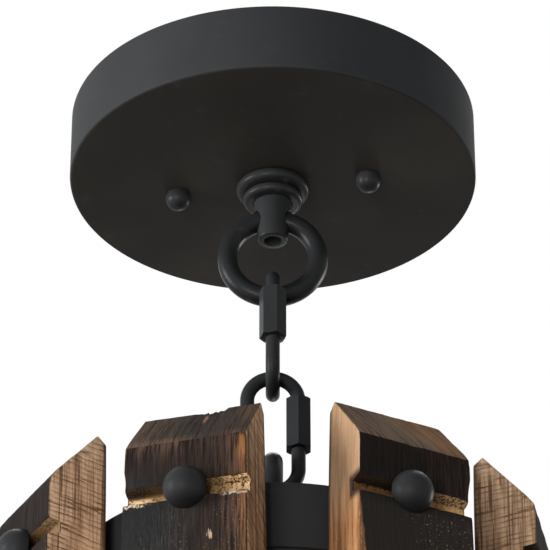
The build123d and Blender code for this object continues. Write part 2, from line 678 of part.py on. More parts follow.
if __name__ == "__main__":
    os.makedirs("parts", exist_ok=True)
    for name, piece in assembly().items():
        export_step(piece, f"parts/{name}.step")
    print("ring pivot", RING_TOP, "upper link pivot", UPPER_LINK_TOP, "lower link pivot", LOWER_LINK_TOP)
    print("eye pivot", EYE_PIVOT, "cover top", COVER_TOP, "stave top", STAVE_TOP, "bolt level", BOLT_LEVEL)
    print("drum", DRUM_FLOOR_TOP, DRUM_LOW, "cluster", CLUSTER_LOW, "lower bolt tilt", degrees(LOWER_BOLT_ANGLE))
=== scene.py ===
"""A chandelier of charred barrel staves on a black steel hub.

It hangs from its canopy by a ring and two screw links.
"""

import math

import bpy
from mathutils import Matrix, Vector, noise


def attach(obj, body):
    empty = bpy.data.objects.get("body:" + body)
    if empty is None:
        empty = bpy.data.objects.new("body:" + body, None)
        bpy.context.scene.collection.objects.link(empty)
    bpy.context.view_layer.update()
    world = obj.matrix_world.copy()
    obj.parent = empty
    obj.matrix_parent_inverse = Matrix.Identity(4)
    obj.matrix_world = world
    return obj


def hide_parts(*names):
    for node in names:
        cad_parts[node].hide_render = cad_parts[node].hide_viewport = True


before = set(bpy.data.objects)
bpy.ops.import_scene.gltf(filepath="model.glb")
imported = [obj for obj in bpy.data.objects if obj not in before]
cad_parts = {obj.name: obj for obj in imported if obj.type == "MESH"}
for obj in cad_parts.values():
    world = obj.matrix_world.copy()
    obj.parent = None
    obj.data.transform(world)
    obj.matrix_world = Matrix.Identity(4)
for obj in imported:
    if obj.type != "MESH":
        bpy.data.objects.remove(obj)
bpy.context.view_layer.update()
scene = bpy.context.scene
scene.view_settings.view_transform = "Standard"


# Studio. A pale floor well under the hanging chandelier, a white surround and five large soft lamps.
# The camera stands low and looks up at the canopy through a long lens.
FLOOR_LEVEL = -1.45
FLOOR_SIZE = 14.0
FLOOR_COLOUR = (0.85, 0.85, 0.84)
FLOOR_CLOUD = 0.96
FLOOR_BRIGHT = 0.7
SURROUND_LIGHT = 0.13
CAMERA_PLACE = (0.001, -1.2941, -0.8913)
CAMERA_PITCH = 32.026
CAMERA_LENS = 220.4
CAMERA_SENSOR = 36.0
CAMERA_NEAR = 0.01
LAMPS = {
    "key_lamp": {"place": (-2.4, -0.65, -0.15), "aim": (0, 0, -0.25), "size": 1.2, "watts": 74},
    "front_lamp": {"place": (-0.8, -2.2, -0.72), "aim": (0, 0, -0.22), "size": 0.9, "watts": 25},
    "side_lamp": {"place": (1.9, 1.4, 0.1), "aim": (0, 0, -0.28), "size": 0.9, "watts": 23},
    "back_lamp": {"place": (0.35, 2.6, -0.95), "aim": (0, 0, -0.05), "size": 1.0, "watts": 8.5},
    "top_lamp": {"place": (0.2, 0.9, 1.7), "aim": (0, 0, -0.4), "size": 1.6, "watts": 24},
}


class Shade:
    """A shader socket that can be added, subtracted and multiplied like a number."""

    def __init__(self, finish, socket):
        self.finish, self.socket = finish, socket

    def sum(self, operation, first, second):
        return self.finish.node("ShaderNodeMath", {"operation": operation}, {0: first, 1: second})

    def __add__(self, other):
        return self.sum("ADD", self, other)

    def __sub__(self, other):
        return self.sum("SUBTRACT", self, other)

    def __rsub__(self, other):
        return self.sum("SUBTRACT", other, self)

    def __mul__(self, other):
        return self.sum("MULTIPLY", self, other)

    def __or__(self, other):
        return self.sum("MAXIMUM", self, other)

    __radd__, __rmul__ = __add__, __mul__


class Finish:
    """A procedural material, or the surround, and the nodes that make it."""

    def __init__(self, name, owner=None):
        self.material = owner or bpy.data.materials.new(name)
        self.material.use_nodes = True
        self.tree = self.material.node_tree
        self.tree.nodes.clear()

    def node(self, kind, settings=None, sockets=None, out=0):
        """Adds a node, with its settings first, and gives back one of its outputs."""
        made = self.tree.nodes.new(kind)
        for name, value in (settings or {}).items():
            setattr(made, name, value)
        for key, value in (sockets or {}).items():
            if isinstance(value, Shade):
                self.tree.links.new(value.socket, made.inputs[key])
            else:
                made.inputs[key].default_value = value
        return Shade(self, made.outputs[out])

    def blend(self, amount, first, second):
        """Mixes two colours, each a shade made before or three numbers."""
        first, second = (tone if isinstance(tone, Shade) else (*tone, 1) for tone in (first, second))
        return self.node("ShaderNodeMix", {"data_type": "RGBA"}, {0: amount, 6: first, 7: second}, out=2)

    def step(self, value, low, high):
        """Rises smoothly from 0 to 1 between two values."""
        return self.node("ShaderNodeMapRange", {"interpolation_type": "SMOOTHSTEP"},
                         {"Value": value, "From Min": low, "From Max": high})

    def place(self):
        """Where a point lies in the frame that all pieces share."""
        return self.node("ShaderNodeTexCoord", out=3)

    def speckle(self, where, stretch, detail=3.0, roughness=0.6, offset=(0, 0, 0)):
        """Noise that is stretched by a scale for each direction."""
        mapped = self.node("ShaderNodeMapping", None, {"Vector": where, "Scale": stretch, "Location": offset})
        return self.node("ShaderNodeTexNoise", None,
                         {"Vector": mapped, "Scale": 1.0, "Detail": detail, "Roughness": roughness})

    def surface(self, colour, roughness, relief=None, depth=0.0002, strength=0.5, **constants):
        """Ends the material in one shader."""
        sockets = {"Base Color": colour, "Roughness": roughness}
        sockets.update(constants)
        if relief is not None:
            sockets["Normal"] = self.node("ShaderNodeBump", None,
                                          {"Height": relief, "Distance": depth, "Strength": strength})
        return self.end(self.node("ShaderNodeBsdfPrincipled", None, sockets))

    def end(self, shader, kind="ShaderNodeOutputMaterial"):
        """Joins the last shader to the output."""
        last = self.tree.nodes.new(kind)
        self.tree.links.new(shader.socket, last.inputs["Surface"])
        return self.material

    def seen(self):
        """1 where the camera, a gloss or clear glass looks at it, 0 where it only sends light."""
        rays = self.node("ShaderNodeLightPath").socket.node.outputs
        kinds = ("Camera", "Glossy", "Transmission")
        camera, gloss, glass = (Shade(self, rays[f"Is {kind} Ray"]) for kind in kinds)
        return camera | gloss | glass


def scaled(colour, share):
    """A colour at a share of its brightness."""
    return tuple(share * part for part in colour)


def floor_finish():
    """Matt pale floor, faintly uneven, seen nearly white and still shaded under the chandelier."""
    finish = Finish("pale_floor")
    where = finish.place()
    cloud = finish.speckle(where, (0.6, 0.6, 0.6))
    tone = finish.blend(cloud, FLOOR_COLOUR, scaled(FLOOR_COLOUR, FLOOR_CLOUD))
    shaded = finish.node("ShaderNodeBsdfDiffuse", None, {"Color": tone})
    bright = finish.node("ShaderNodeEmission", None, {"Color": tone, "Strength": 1.0})
    share = finish.seen() * FLOOR_BRIGHT
    return finish.end(finish.node("ShaderNodeMixShader", None, {0: share, 1: shaded, 2: bright}))


bpy.ops.object.select_all(action="DESELECT")
bpy.ops.mesh.primitive_plane_add(size=FLOOR_SIZE, location=(0, 0, FLOOR_LEVEL))
floor = bpy.context.object
floor.name = "floor"
floor.data.materials.append(floor_finish())
for lamp_name, lamp in LAMPS.items():
    light = bpy.data.lights.new(lamp_name, "AREA")
    light.shape, light.size, light.energy = "DISK", lamp["size"], lamp["watts"]
    holder = bpy.data.objects.new(lamp_name, light)
    scene.collection.objects.link(holder)
    facing = (Vector(lamp["aim"]) - Vector(lamp["place"])).to_track_quat("-Z", "Y")
    holder.matrix_world = Matrix.Translation(lamp["place"]) @ facing.to_matrix().to_4x4()

scene.world = bpy.data.worlds.new("surround")
surround = Finish("surround", scene.world)
white = surround.node("ShaderNodeBackground", None, {"Color": (1, 1, 1, 1), "Strength": 1.0})
soft = surround.node("ShaderNodeBackground", None, {"Color": (1, 1, 1, 1), "Strength": SURROUND_LIGHT})
either = surround.node("ShaderNodeMixShader", None, {0: surround.seen(), 1: soft, 2: white})
surround.end(either, "ShaderNodeOutputWorld")

lens = bpy.data.cameras.new("camera")
lens.sensor_width, lens.lens, lens.clip_start = CAMERA_SENSOR, CAMERA_LENS, CAMERA_NEAR
camera = bpy.data.objects.new("camera", lens)
camera.location = CAMERA_PLACE
camera.rotation_euler = (math.radians(90 + CAMERA_PITCH), 0, 0)
scene.collection.objects.link(camera)
scene.camera = camera


# Canopy. A pan spun from steel sheet, its lower edge softly rounded, powder coated satin black.
# Two ball nuts hold it up against the ceiling, over the crossbar inside.
CANOPY_RADIUS = 0.0935
CANOPY_HEIGHT = 0.033
CANOPY_WALL = 0.0015
CANOPY_EDGE = 0.0014
SHANK_HOLE = 0.0091
MERGE = 2e-6


def select_only(piece):
    """Makes one piece the only one that operators act on."""
    bpy.ops.object.select_all(action="DESELECT")
    piece.select_set(True)
    bpy.context.view_layer.objects.active = piece


def name_new(name):
    """Names the piece that was just added and applies its place and size."""
    bpy.ops.object.transform_apply(location=True, rotation=True, scale=True)
    piece = bpy.context.object
    piece.name = piece.data.name = name
    return piece


def begin_mesh():
    """Takes the active piece into edit mode with all of it selected."""
    bpy.ops.object.mode_set(mode="EDIT")
    bpy.ops.mesh.select_all(action="SELECT")


def close_mesh():
    """Merges the seams of the piece in edit mode, turns its faces outwards and leaves edit mode."""
    bpy.ops.mesh.select_all(action="SELECT")
    bpy.ops.mesh.remove_doubles(threshold=MERGE)
    bpy.ops.mesh.normals_make_consistent(inside=False)
    bpy.ops.object.mode_set(mode="OBJECT")


def smooth(crease):
    """Shades the active piece smooth up to an angle."""
    bpy.ops.object.shade_smooth_by_angle(angle=math.radians(crease))


def arc(centre, radius, start, end, steps=6):
    """Points of an arc in an outline, angles in degrees from the outward direction."""
    turns = [math.radians(start + (end - start) * i / steps) for i in range(steps + 1)]
    return [(centre[0] + radius * math.cos(a), centre[1] + radius * math.sin(a)) for a in turns]


def turned(name, outline, sides=160, axis_place=(0, 0), crease=40):
    """A piece turned on a lathe: a point drawn out along the outline and spun about the upright axis."""
    bpy.ops.object.select_all(action="DESELECT")
    x, y = axis_place
    bpy.ops.mesh.primitive_plane_add(size=0.001, location=(x + outline[0][0], y, outline[0][1]))
    piece = name_new(name)
    begin_mesh()
    bpy.ops.mesh.merge(type="CENTER")
    for (r0, z0), (r1, z1) in zip(outline, outline[1:]):
        bpy.ops.mesh.extrude_vertices_move(TRANSFORM_OT_translate={"value": (r1 - r0, 0, z1 - z0)})
    bpy.ops.mesh.select_all(action="SELECT")
    bpy.ops.mesh.spin(steps=sides, angle=2 * math.pi, center=(x, y, 0), axis=(0, 0, 1))
    close_mesh()
    smooth(crease)
    return piece


def hang(piece, body, material, *nodes):
    """Gives a piece its finish, its body and the CAD nodes that it stands for."""
    piece.data.materials.clear()
    piece.data.materials.append(material)
    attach(piece, body)
    if nodes:
        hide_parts(*nodes)


def black_coat(name, upright, under, sheen, dull, scuffs):
    """Satin black powder coat: a cool upright wall and faint scuffs; faces that look down take a darker,
    warmer colour as painted shade.
    """
    finish = Finish(name)
    where = finish.place()
    facing = finish.node("ShaderNodeNewGeometry", out=1)
    facing_up = finish.node("ShaderNodeSeparateXYZ", None, {0: facing}, out=2)
    below = finish.step(facing_up, -0.35, -0.9)
    cloud = finish.speckle(where, (38, 38, 38), detail=5)
    uneven = finish.speckle(where, (9, 9, 9), detail=2, offset=(0.4, 0.9, 0.2))
    rub = finish.speckle(where, (60, 60, 210), detail=4, roughness=0.7, offset=(3, 1, 7))
    grit = finish.speckle(where, (1500, 1500, 1500), detail=2)
    scuffed = finish.step(rub, 0.58, 0.78) * scuffs
    # Painted shade: faces that look down take the darker under colour, darker still in random patches
    shaded = finish.blend(finish.step(uneven, 0.62, 0.38) * 0.6, under, scaled(under, 0.4))
    tone = finish.blend(below, upright, shaded)
    tone = finish.blend(cloud * 0.5, tone, scaled(upright, 0.55))
    tone = finish.blend(scuffed, tone, scaled(upright, 2.6))
    roughness = cloud * 0.12 + dull + scuffed * 0.1
    return finish.surface(tone, roughness, grit + rub * 0.6, depth=0.00006, strength=0.45,
                          **{"Specular IOR Level": sheen})


# Each coat's under colour is the painted shade of its faces that look down
SHEET_COAT = black_coat("black_sheet_coat", upright=(0.042, 0.0436, 0.046), under=(0.031, 0.0262, 0.0212),
                        sheen=0.02, dull=0.5, scuffs=0.12)
inside = CANOPY_RADIUS - CANOPY_WALL
roof = CANOPY_WALL - CANOPY_HEIGHT
canopy_outline = [(CANOPY_RADIUS, 0)]
canopy_outline += arc((CANOPY_RADIUS - CANOPY_EDGE, CANOPY_EDGE - CANOPY_HEIGHT), CANOPY_EDGE, 0, -90)
canopy_outline += [(SHANK_HOLE, -CANOPY_HEIGHT), (SHANK_HOLE, roof), (inside, roof), (inside, 0),
                   (CANOPY_RADIUS, 0)]
canopy = turned("canopy_pan", canopy_outline, sides=240)
hang(canopy, "canopy", SHEET_COAT, "canopy")


# Canopy ball nuts. Two black ball nuts with flat seats, screwed on the studs of the crossbar.
# They hold the canopy against the ceiling.
BALL_NUT_RADIUS = 0.0058
BALL_NUT_DROP = 0.0026
STUD_HALF_SPACING = 0.04445
CANOPY_TURN = math.radians(-9.8)

STEEL_COAT = black_coat("black_steel_coat", upright=(0.031, 0.032, 0.0335), under=(0.0165, 0.0157, 0.0152),
                        sheen=0.07, dull=0.25, scuffs=0.35)
ball_rise = math.degrees(math.asin(BALL_NUT_DROP / BALL_NUT_RADIUS))
ball_outline = arc((0, -CANOPY_HEIGHT - BALL_NUT_DROP), BALL_NUT_RADIUS, -90, ball_rise, steps=28)
ball_outline += [(0, -CANOPY_HEIGHT)]
for number, side in enumerate((-1, 1), 1):
    reach = side * STUD_HALF_SPACING
    spot = (reach * math.cos(CANOPY_TURN), reach * math.sin(CANOPY_TURN))
    ball_nut = turned(f"canopy_ball_nut_{number}", ball_outline, sides=64, axis_place=spot)
    hang(ball_nut, "canopy", STEEL_COAT, "canopy_ball_nuts")


# Collar and neck. A stepped collar and the neck that it holds, both turned from bar and blackened.
# The neck is cross bored for the ring, with a cord outlet in its end.
COLLAR_RADIUS = 0.0168
COLLAR_STEP_RADIUS = 0.0137
COLLAR_FLANGE_LOW = -0.039
COLLAR_LOW = -0.044
COLLAR_ROUND = 0.49
NECK_TOP_RADIUS = 0.0089
NECK_END_RADIUS = 0.0068
NECK_END = -0.0636
NECK_SHANK_TOP = -0.0215
NECK_EDGE = 0.0009
CORD_HOLE_RADIUS = 0.0042
CORD_HOLE_DEPTH = 0.0065
RING_TOP = -0.0525
RING_CENTRE_RADIUS = 0.0206
RING_WIRE_RADIUS = 0.0046
RING_ROOM = 0.00045
RING_SWING = math.radians(31)


def bent_ring(name, wire_radius, centre_radius, middle):
    """A bar drawn round in a full circle that stands upright and faces the front."""
    bpy.ops.object.select_all(action="DESELECT")
    bpy.ops.mesh.primitive_circle_add(vertices=40, radius=wire_radius, location=(centre_radius, 0, middle))
    piece = name_new(name)
    begin_mesh()
    bpy.ops.mesh.spin(steps=128, angle=2 * math.pi, center=(0, 0, middle), axis=(0, 1, 0))
    close_mesh()
    bpy.ops.object.shade_smooth()
    return piece


def rod(radius, low, high):
    """Outline of a plain round rod."""
    return [(0, low), (radius, low), (radius, high), (0, high)]


def cut_out(piece, cutter):
    """Cuts one piece out of another and throws the cutter away."""
    select_only(piece)
    saw = piece.modifiers.new("cut", "BOOLEAN")
    saw.operation, saw.solver, saw.object = "DIFFERENCE", "EXACT", cutter
    bpy.ops.object.modifier_apply(modifier="cut")
    bpy.data.objects.remove(cutter, do_unlink=True)
    smooth(40)


collar_beads = [(COLLAR_RADIUS, -CANOPY_HEIGHT, COLLAR_FLANGE_LOW),
                (COLLAR_STEP_RADIUS, COLLAR_FLANGE_LOW, COLLAR_LOW)]
collar_outline = [(SHANK_HOLE, -CANOPY_HEIGHT)]
for bead_radius, bead_top, bead_low in collar_beads:
    bead = (bead_top - bead_low) * COLLAR_ROUND
    collar_outline += arc((bead_radius - bead, bead_low + bead), bead, 75, -90, steps=14)
collar_outline += [(SHANK_HOLE, COLLAR_LOW), (SHANK_HOLE, -CANOPY_HEIGHT)]
collar = turned("hanger_collar_ring", collar_outline, sides=128)
hang(collar, "canopy", STEEL_COAT, "hanger_collar")

neck_outline = [(0, NECK_SHANK_TOP), (NECK_TOP_RADIUS, NECK_SHANK_TOP), (NECK_TOP_RADIUS, COLLAR_LOW)]
neck_outline += arc((NECK_END_RADIUS - NECK_EDGE, NECK_END + NECK_EDGE), NECK_EDGE, 0, -90)
hole_top = NECK_END + CORD_HOLE_DEPTH
neck_outline += [(CORD_HOLE_RADIUS, NECK_END), (CORD_HOLE_RADIUS, hole_top), (0, hole_top)]
neck = turned("hanger_neck_piece", neck_outline, sides=96)
bore_radius = RING_WIRE_RADIUS + RING_ROOM
bore_reach = NECK_TOP_RADIUS * 2
bore = turned("ring_bore", rod(bore_radius, -bore_reach, bore_reach), sides=64)
bore.data.transform(Matrix.Translation((0, 0, RING_TOP)) @ Matrix.Rotation(math.radians(90), 4, "Y"))
cut_out(neck, bore)
for swing in (-RING_SWING, 0, RING_SWING):
    flare = bent_ring("ring_flare", bore_radius, RING_CENTRE_RADIUS, -RING_CENTRE_RADIUS)
    flare.data.transform(Matrix.Translation((0, 0, RING_TOP)) @ Matrix.Rotation(swing, 4, "X"))
    cut_out(neck, flare)
hang(neck, "canopy", STEEL_COAT, "hanger_neck")


# Crossbar, studs, nipple, nuts and washers. Zinc plated hardware in the canopy, the drum and the hoop.
# The shapes are the frame's own, and only the finish is added.
def zinc_plate():
    """Bright zinc with the faint clouds of plating."""
    finish = Finish("zinc_plate")
    where = finish.place()
    cloud = finish.speckle(where, (120, 120, 120), detail=4)
    tone = finish.blend(cloud, (0.5, 0.5, 0.48), (0.34, 0.34, 0.33))
    return finish.surface(tone, cloud * 0.25 + 0.28, cloud, depth=0.00005, Metallic=0.9)


def dress(material, *nodes):
    """Gives CAD nodes a finish."""
    for name in nodes:
        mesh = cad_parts[name].data
        mesh.materials.clear()
        mesh.materials.append(material)


ZINC = zinc_plate()
dress(ZINC, "crossbar", "canopy_studs", "hanger_nipple", "nipple_locknuts", "eye_washer", "eye_nut",
      "upper_washers", "upper_nuts", "upper_spacers", "lower_washers", "lower_nuts", "stem_nuts")


# Ring. One round bar bent into a ring, welded and blackened, hanging through the neck.
# It faces the front.
RING_COAT = black_coat("black_ring_coat", upright=(0.0215, 0.0223, 0.0234), under=(0.0095, 0.0093, 0.0092),
                       sheen=0.075, dull=0.24, scuffs=0.5)
ring_middle = RING_TOP - RING_CENTRE_RADIUS
ring = bent_ring("hanging_ring_bar", RING_WIRE_RADIUS, RING_CENTRE_RADIUS, ring_middle)
hang(ring, "ring", RING_COAT, "hanging_ring")


# Screw links. Each is one blackened rod bent to a long loop with a gap in one leg, which a hexagon
# sleeve nut closes. The upper link stands edge on with its nut forward, the lower one faces the front.
LINK_WIRE_RADIUS = 0.003175
LINK_BOW = 0.011325
LINK_STRAIGHT = 0.0346
LINK_STUB = 0.002
LINK_GAP = 0.007
LINK_NUT_LENGTH = 0.025
LINK_NUT_CORNER = 0.0107 / math.sqrt(3)
LINK_NUT_BORE = 0.003275
LINK_NUT_EDGE = 0.0009
LINK_NUT_SOFT = 0.0003
CONE_SLOPE = 1.6
CONE_WIDE = 0.003
CONE_PAST = 0.004
BORE_PAST = 0.002
UPPER_LINK_TOP = -0.085625
LOWER_LINK_TOP = -0.136225


def screw_link(name, top, turn):
    """A rod drawn along its leg, round one bow, down the other leg and round to the gap."""
    high = top - LINK_BOW
    low = high - LINK_STRAIGHT
    bpy.ops.object.select_all(action="DESELECT")
    bpy.ops.mesh.primitive_circle_add(vertices=32, radius=LINK_WIRE_RADIUS, fill_type="NGON",
                                      location=(LINK_BOW, 0, high - LINK_STUB))
    piece = name_new(name)
    begin_mesh()
    bpy.ops.mesh.extrude_region_move(TRANSFORM_OT_translate={"value": (0, 0, LINK_STUB)})
    bpy.ops.mesh.spin(steps=40, angle=math.pi, center=(0, 0, high), axis=(0, 1, 0))
    bpy.ops.mesh.extrude_region_move(TRANSFORM_OT_translate={"value": (0, 0, -LINK_STRAIGHT)})
    bpy.ops.mesh.spin(steps=40, angle=math.pi, center=(0, 0, low), axis=(0, 1, 0))
    rise = LINK_STRAIGHT - LINK_STUB - LINK_GAP
    bpy.ops.mesh.extrude_region_move(TRANSFORM_OT_translate={"value": (0, 0, rise)})
    bpy.ops.mesh.select_all(action="SELECT")
    bpy.ops.mesh.normals_make_consistent(inside=False)
    bpy.ops.object.mode_set(mode="OBJECT")
    piece.data.transform(Matrix.Rotation(turn, 4, "Z"))
    smooth(40)
    return piece


def soften(piece, width, angle):
    """Rounds the edges of a piece that are sharper than an angle."""
    select_only(piece)
    soft_edge = piece.modifiers.new("soft", "BEVEL")
    soft_edge.width, soft_edge.segments, soft_edge.limit_method = width, 2, "ANGLE"
    soft_edge.angle_limit = math.radians(angle)
    bpy.ops.object.modifier_apply(modifier="soft")


def sleeve_nut(name, top, turn, screwed):
    """A hexagon bar, its ends turned to a cone, bored through, then screwed to an angle of its own."""
    high = top - LINK_BOW
    low = high - LINK_NUT_LENGTH
    bpy.ops.object.select_all(action="DESELECT")
    bpy.ops.mesh.primitive_cylinder_add(vertices=6, radius=LINK_NUT_CORNER, depth=LINK_NUT_LENGTH,
                                        location=(LINK_BOW, 0, (high + low) / 2))
    piece = name_new(name)
    leg = Matrix.Translation((LINK_BOW, 0, 0))
    piece.data.transform(leg @ Matrix.Rotation(screwed, 4, "Z") @ leg.inverted())
    edge, wide = LINK_NUT_CORNER - LINK_NUT_EDGE, LINK_NUT_CORNER + CONE_WIDE
    cone_low, cone_top = high - LINK_NUT_EDGE * wide / LINK_NUT_CORNER * CONE_SLOPE, high + CONE_PAST
    cone = [(edge, high), (wide, cone_low), (wide, cone_top), (edge, cone_top), (edge, high)]
    flipped = [(radius, high + low - level) for radius, level in cone]
    for lip in (cone, flipped):
        cut_out(piece, turned("nut_cone", lip, sides=96, axis_place=(LINK_BOW, 0)))
    rod_hole = rod(LINK_NUT_BORE, low - BORE_PAST, high + BORE_PAST)
    cut_out(piece, turned("nut_bore", rod_hole, sides=48, axis_place=(LINK_BOW, 0)))
    soften(piece, LINK_NUT_SOFT, 35)
    piece.data.transform(Matrix.Rotation(turn, 4, "Z"))
    smooth(35)
    return piece


LINK_COAT = black_coat("black_link_coat", upright=(0.0305, 0.0315, 0.033), under=(0.0115, 0.0112, 0.011),
                       sheen=0.028, dull=0.2, scuffs=0.5)
LINKS = [("upper", UPPER_LINK_TOP, math.radians(-90), math.radians(-12.5)),
         ("lower", LOWER_LINK_TOP, 0.0, 0.0)]
for label, top, turn, screwed in LINKS:
    link, nut = f"{label}_link", f"{label}_link_nut"
    hang(screw_link(f"{link}_rod", top, turn), link, LINK_COAT, link)
    hang(sleeve_nut(f"{link}_sleeve", top, turn, screwed), nut, LINK_COAT, nut)


# Hub. A forged eye bolted through a spun cap, which fits over the drum that holds the wiring.
# All three are coated black; the cap's skirt ends in a plain edge round the drum.
EYE_HALF_THICK = 0.0045
EYE_RIM = 0.0135
EYE_HOLE_RADIUS = 0.0075
EYE_CENTRE = -0.1975
EYE_SHANK_RADIUS = 0.007
EYE_FLANGE_RADIUS = 0.013
EYE_FLANGE = 0.005
EYE_FILLET = 0.001
EYE_SHANK_SINK = 0.004
COVER_TOP = -0.2355
COVER_RADIUS = 0.0878
COVER_SKIRT = 0.03
COVER_WALL = 0.0015
COVER_EDGE = 0.0016
COVER_LIP = 0.0004
DRUM_RADIUS = 0.086
DRUM_RIM = -0.2373
DRUM_LOW = -0.2993
DRUM_WALL = 0.0015
DRUM_FLOOR = 0.002
STUD_HOLE = 0.00625
STEM_HOLE = 0.0067
HAIR = 1e-5

bar_middle = EYE_CENTRE + EYE_HOLE_RADIUS + EYE_HALF_THICK
bpy.ops.object.select_all(action="DESELECT")
bpy.ops.mesh.primitive_circle_add(vertices=48, radius=EYE_HALF_THICK, location=(0, 0, bar_middle),
                                  rotation=(math.radians(90), 0, 0))
eye = name_new("hub_eye_forging")
for vertex in eye.data.vertices:
    vertex.select = vertex.co.z > bar_middle + HAIR
bpy.ops.object.mode_set(mode="EDIT")
bpy.ops.transform.translate(value=(0, 0, EYE_RIM - 2 * EYE_HALF_THICK))
bpy.ops.mesh.select_all(action="SELECT")
bpy.ops.mesh.spin(steps=96, angle=2 * math.pi, center=(0, 0, EYE_CENTRE), axis=(1, 0, 0))
close_mesh()
bpy.ops.object.shade_smooth()
hang(eye, "fixture", STEEL_COAT, "hub_eye")
shank_top = EYE_CENTRE - EYE_HOLE_RADIUS - EYE_SHANK_SINK
flange_top = COVER_TOP + EYE_FLANGE
shank_outline = [(0, shank_top), (EYE_SHANK_RADIUS, shank_top), (EYE_SHANK_RADIUS, flange_top + EYE_FILLET),
                 (EYE_SHANK_RADIUS + EYE_FILLET, flange_top)]
shank_outline += arc((EYE_FLANGE_RADIUS - EYE_FILLET, flange_top - EYE_FILLET), EYE_FILLET, 90, 0)
shank_outline += [(EYE_FLANGE_RADIUS, COVER_TOP), (0, COVER_TOP)]
hang(turned("hub_eye_shank", shank_outline, sides=64), "fixture", STEEL_COAT, "hub_eye")

skirt_low, lid_low = COVER_TOP - COVER_SKIRT, COVER_TOP - COVER_WALL
inside = COVER_RADIUS - COVER_WALL
cover_outline = [(STUD_HOLE, COVER_TOP)]
cover_outline += arc((COVER_RADIUS - COVER_EDGE, COVER_TOP - COVER_EDGE), COVER_EDGE, 90, 0)
cover_outline += [(COVER_RADIUS, skirt_low + COVER_LIP), (COVER_RADIUS - COVER_LIP, skirt_low),
                  (inside, skirt_low), (inside, lid_low), (STUD_HOLE, lid_low), (STUD_HOLE, COVER_TOP)]
cover = turned("hub_cover_cap", cover_outline, sides=240)
hang(cover, "fixture", SHEET_COAT, "hub_cover")
inside, drum_floor = DRUM_RADIUS - DRUM_WALL, DRUM_LOW + DRUM_FLOOR
drum_outline = [(DRUM_RADIUS, DRUM_RIM)]
drum_outline += arc((DRUM_RADIUS - DRUM_WALL, DRUM_LOW + DRUM_WALL), DRUM_WALL, 0, -90)
drum_outline += [(STEM_HOLE, DRUM_LOW), (STEM_HOLE, drum_floor), (inside, drum_floor), (inside, DRUM_RIM),
                 (DRUM_RADIUS, DRUM_RIM)]
drum = turned("hub_drum_pan", drum_outline, sides=240)
hang(drum, "fixture", SHEET_COAT, "hub_drum")


# Staves. Oak staves of an old barrel, bent by the cooper, with their charred inner side outwards.
# Each end has the chime's bevel and the groove that held the barrel's head; the sides are fresh sawn.
STAVE_LENGTH = 0.88
STAVE_THICK = 0.0265
STAVE_END_HALF = 0.0245
STAVE_MIDDLE_HALF = 0.03
STAVE_BEND = 2.0
STAVE_BACK = 0.0915
GROOVE_FROM_END = 0.0478
GROOVE_MOUTH = 0.00375
GROOVE_ROOT = 0.0025
GROOVE_DEPTH = 0.006
GROOVE_SPARE = 1e-4
CHIME_HEIGHT = 0.0248
CHIME_CREST = 0.004
BOLT_LEVEL = -0.2527
STAVE_EDGE = 0.0007
FIRST_STAVE = -107
# A stave's tone says how warm its char is, how far its sides are hatched by the saw and how pale it is
STAVES = [
    {"place": 0, "lift": 0, "shift": -0.0006, "tone": (1.0, 0.0, 0.1), "chips": 0.003},
    {"place": 45, "lift": 0.0027, "shift": 0.0027, "tone": (0.15, 0.5, 0.9), "chips": 0.0003},
    {"place": 95, "lift": 0.005, "shift": 0.0005, "tone": (0.4, 1.0, 0.1), "chips": 0.0008},
    {"place": 139, "lift": 0.0008, "shift": -0.0008, "tone": (0.5, 0.4, 0.4), "chips": 0.0015},
    {"place": 183, "lift": 0.0019, "shift": 0.0009, "tone": (0.3, 0.8, 0.2), "chips": 0.002},
    {"place": 227, "lift": 0.0004, "shift": -0.0004, "tone": (0.7, 0.0, 0.5), "chips": 0.001},
    {"place": 271, "lift": 0.0016, "shift": 0.0006, "tone": (0.45, 1.0, 0.1), "chips": 0.0015},
    {"place": 315, "lift": 0.002, "shift": 0.0005, "tone": (0.5, 1.0, 0.0), "chips": 0.0006},
]
FINE_ROW = 0.0012
FINE_ROWS = 55
COARSE_START = 0.072
COARSE_ROW = 0.016
COARSE_ROWS = 47
COLUMN = 0.0015
COLUMNS_ASIDE = 19
RAGGED_COLUMNS = (-7, 10)
SLICE_DEPTHS = (0.002, 0.005, 0.009, 0.013, 0.0175, 0.022)
CHAR_SKIN = 0.0012
FIBRE_RELIEF = 0.00018
EDGE_REACH = 0.004
DENT_DEPTH = 0.0036
DENT_SIDE = 0.003
SHOULDER_WEAR = 0.0007
SHOULDER_NICK = 0.0013
LIP_REACH = 0.0018
LIP_TEAR = 0.0016
CREST_REACH = 0.014
TOOTH_REACH = 0.003
RAGGED_MIDDLE = 0.005
RAGGED_HALF = 0.0085
BROKEN_END = 0.0135
BROKEN_FADE = 0.002
SAW_TURN = 6.283
GRAIN_SHIFT = 1.7


def slice_at(spot, facing, **cut):
    """Cuts the piece in edit mode along a plane."""
    bpy.ops.mesh.select_all(action="SELECT")
    bpy.ops.mesh.bisect(plane_co=spot, plane_no=facing, **cut)


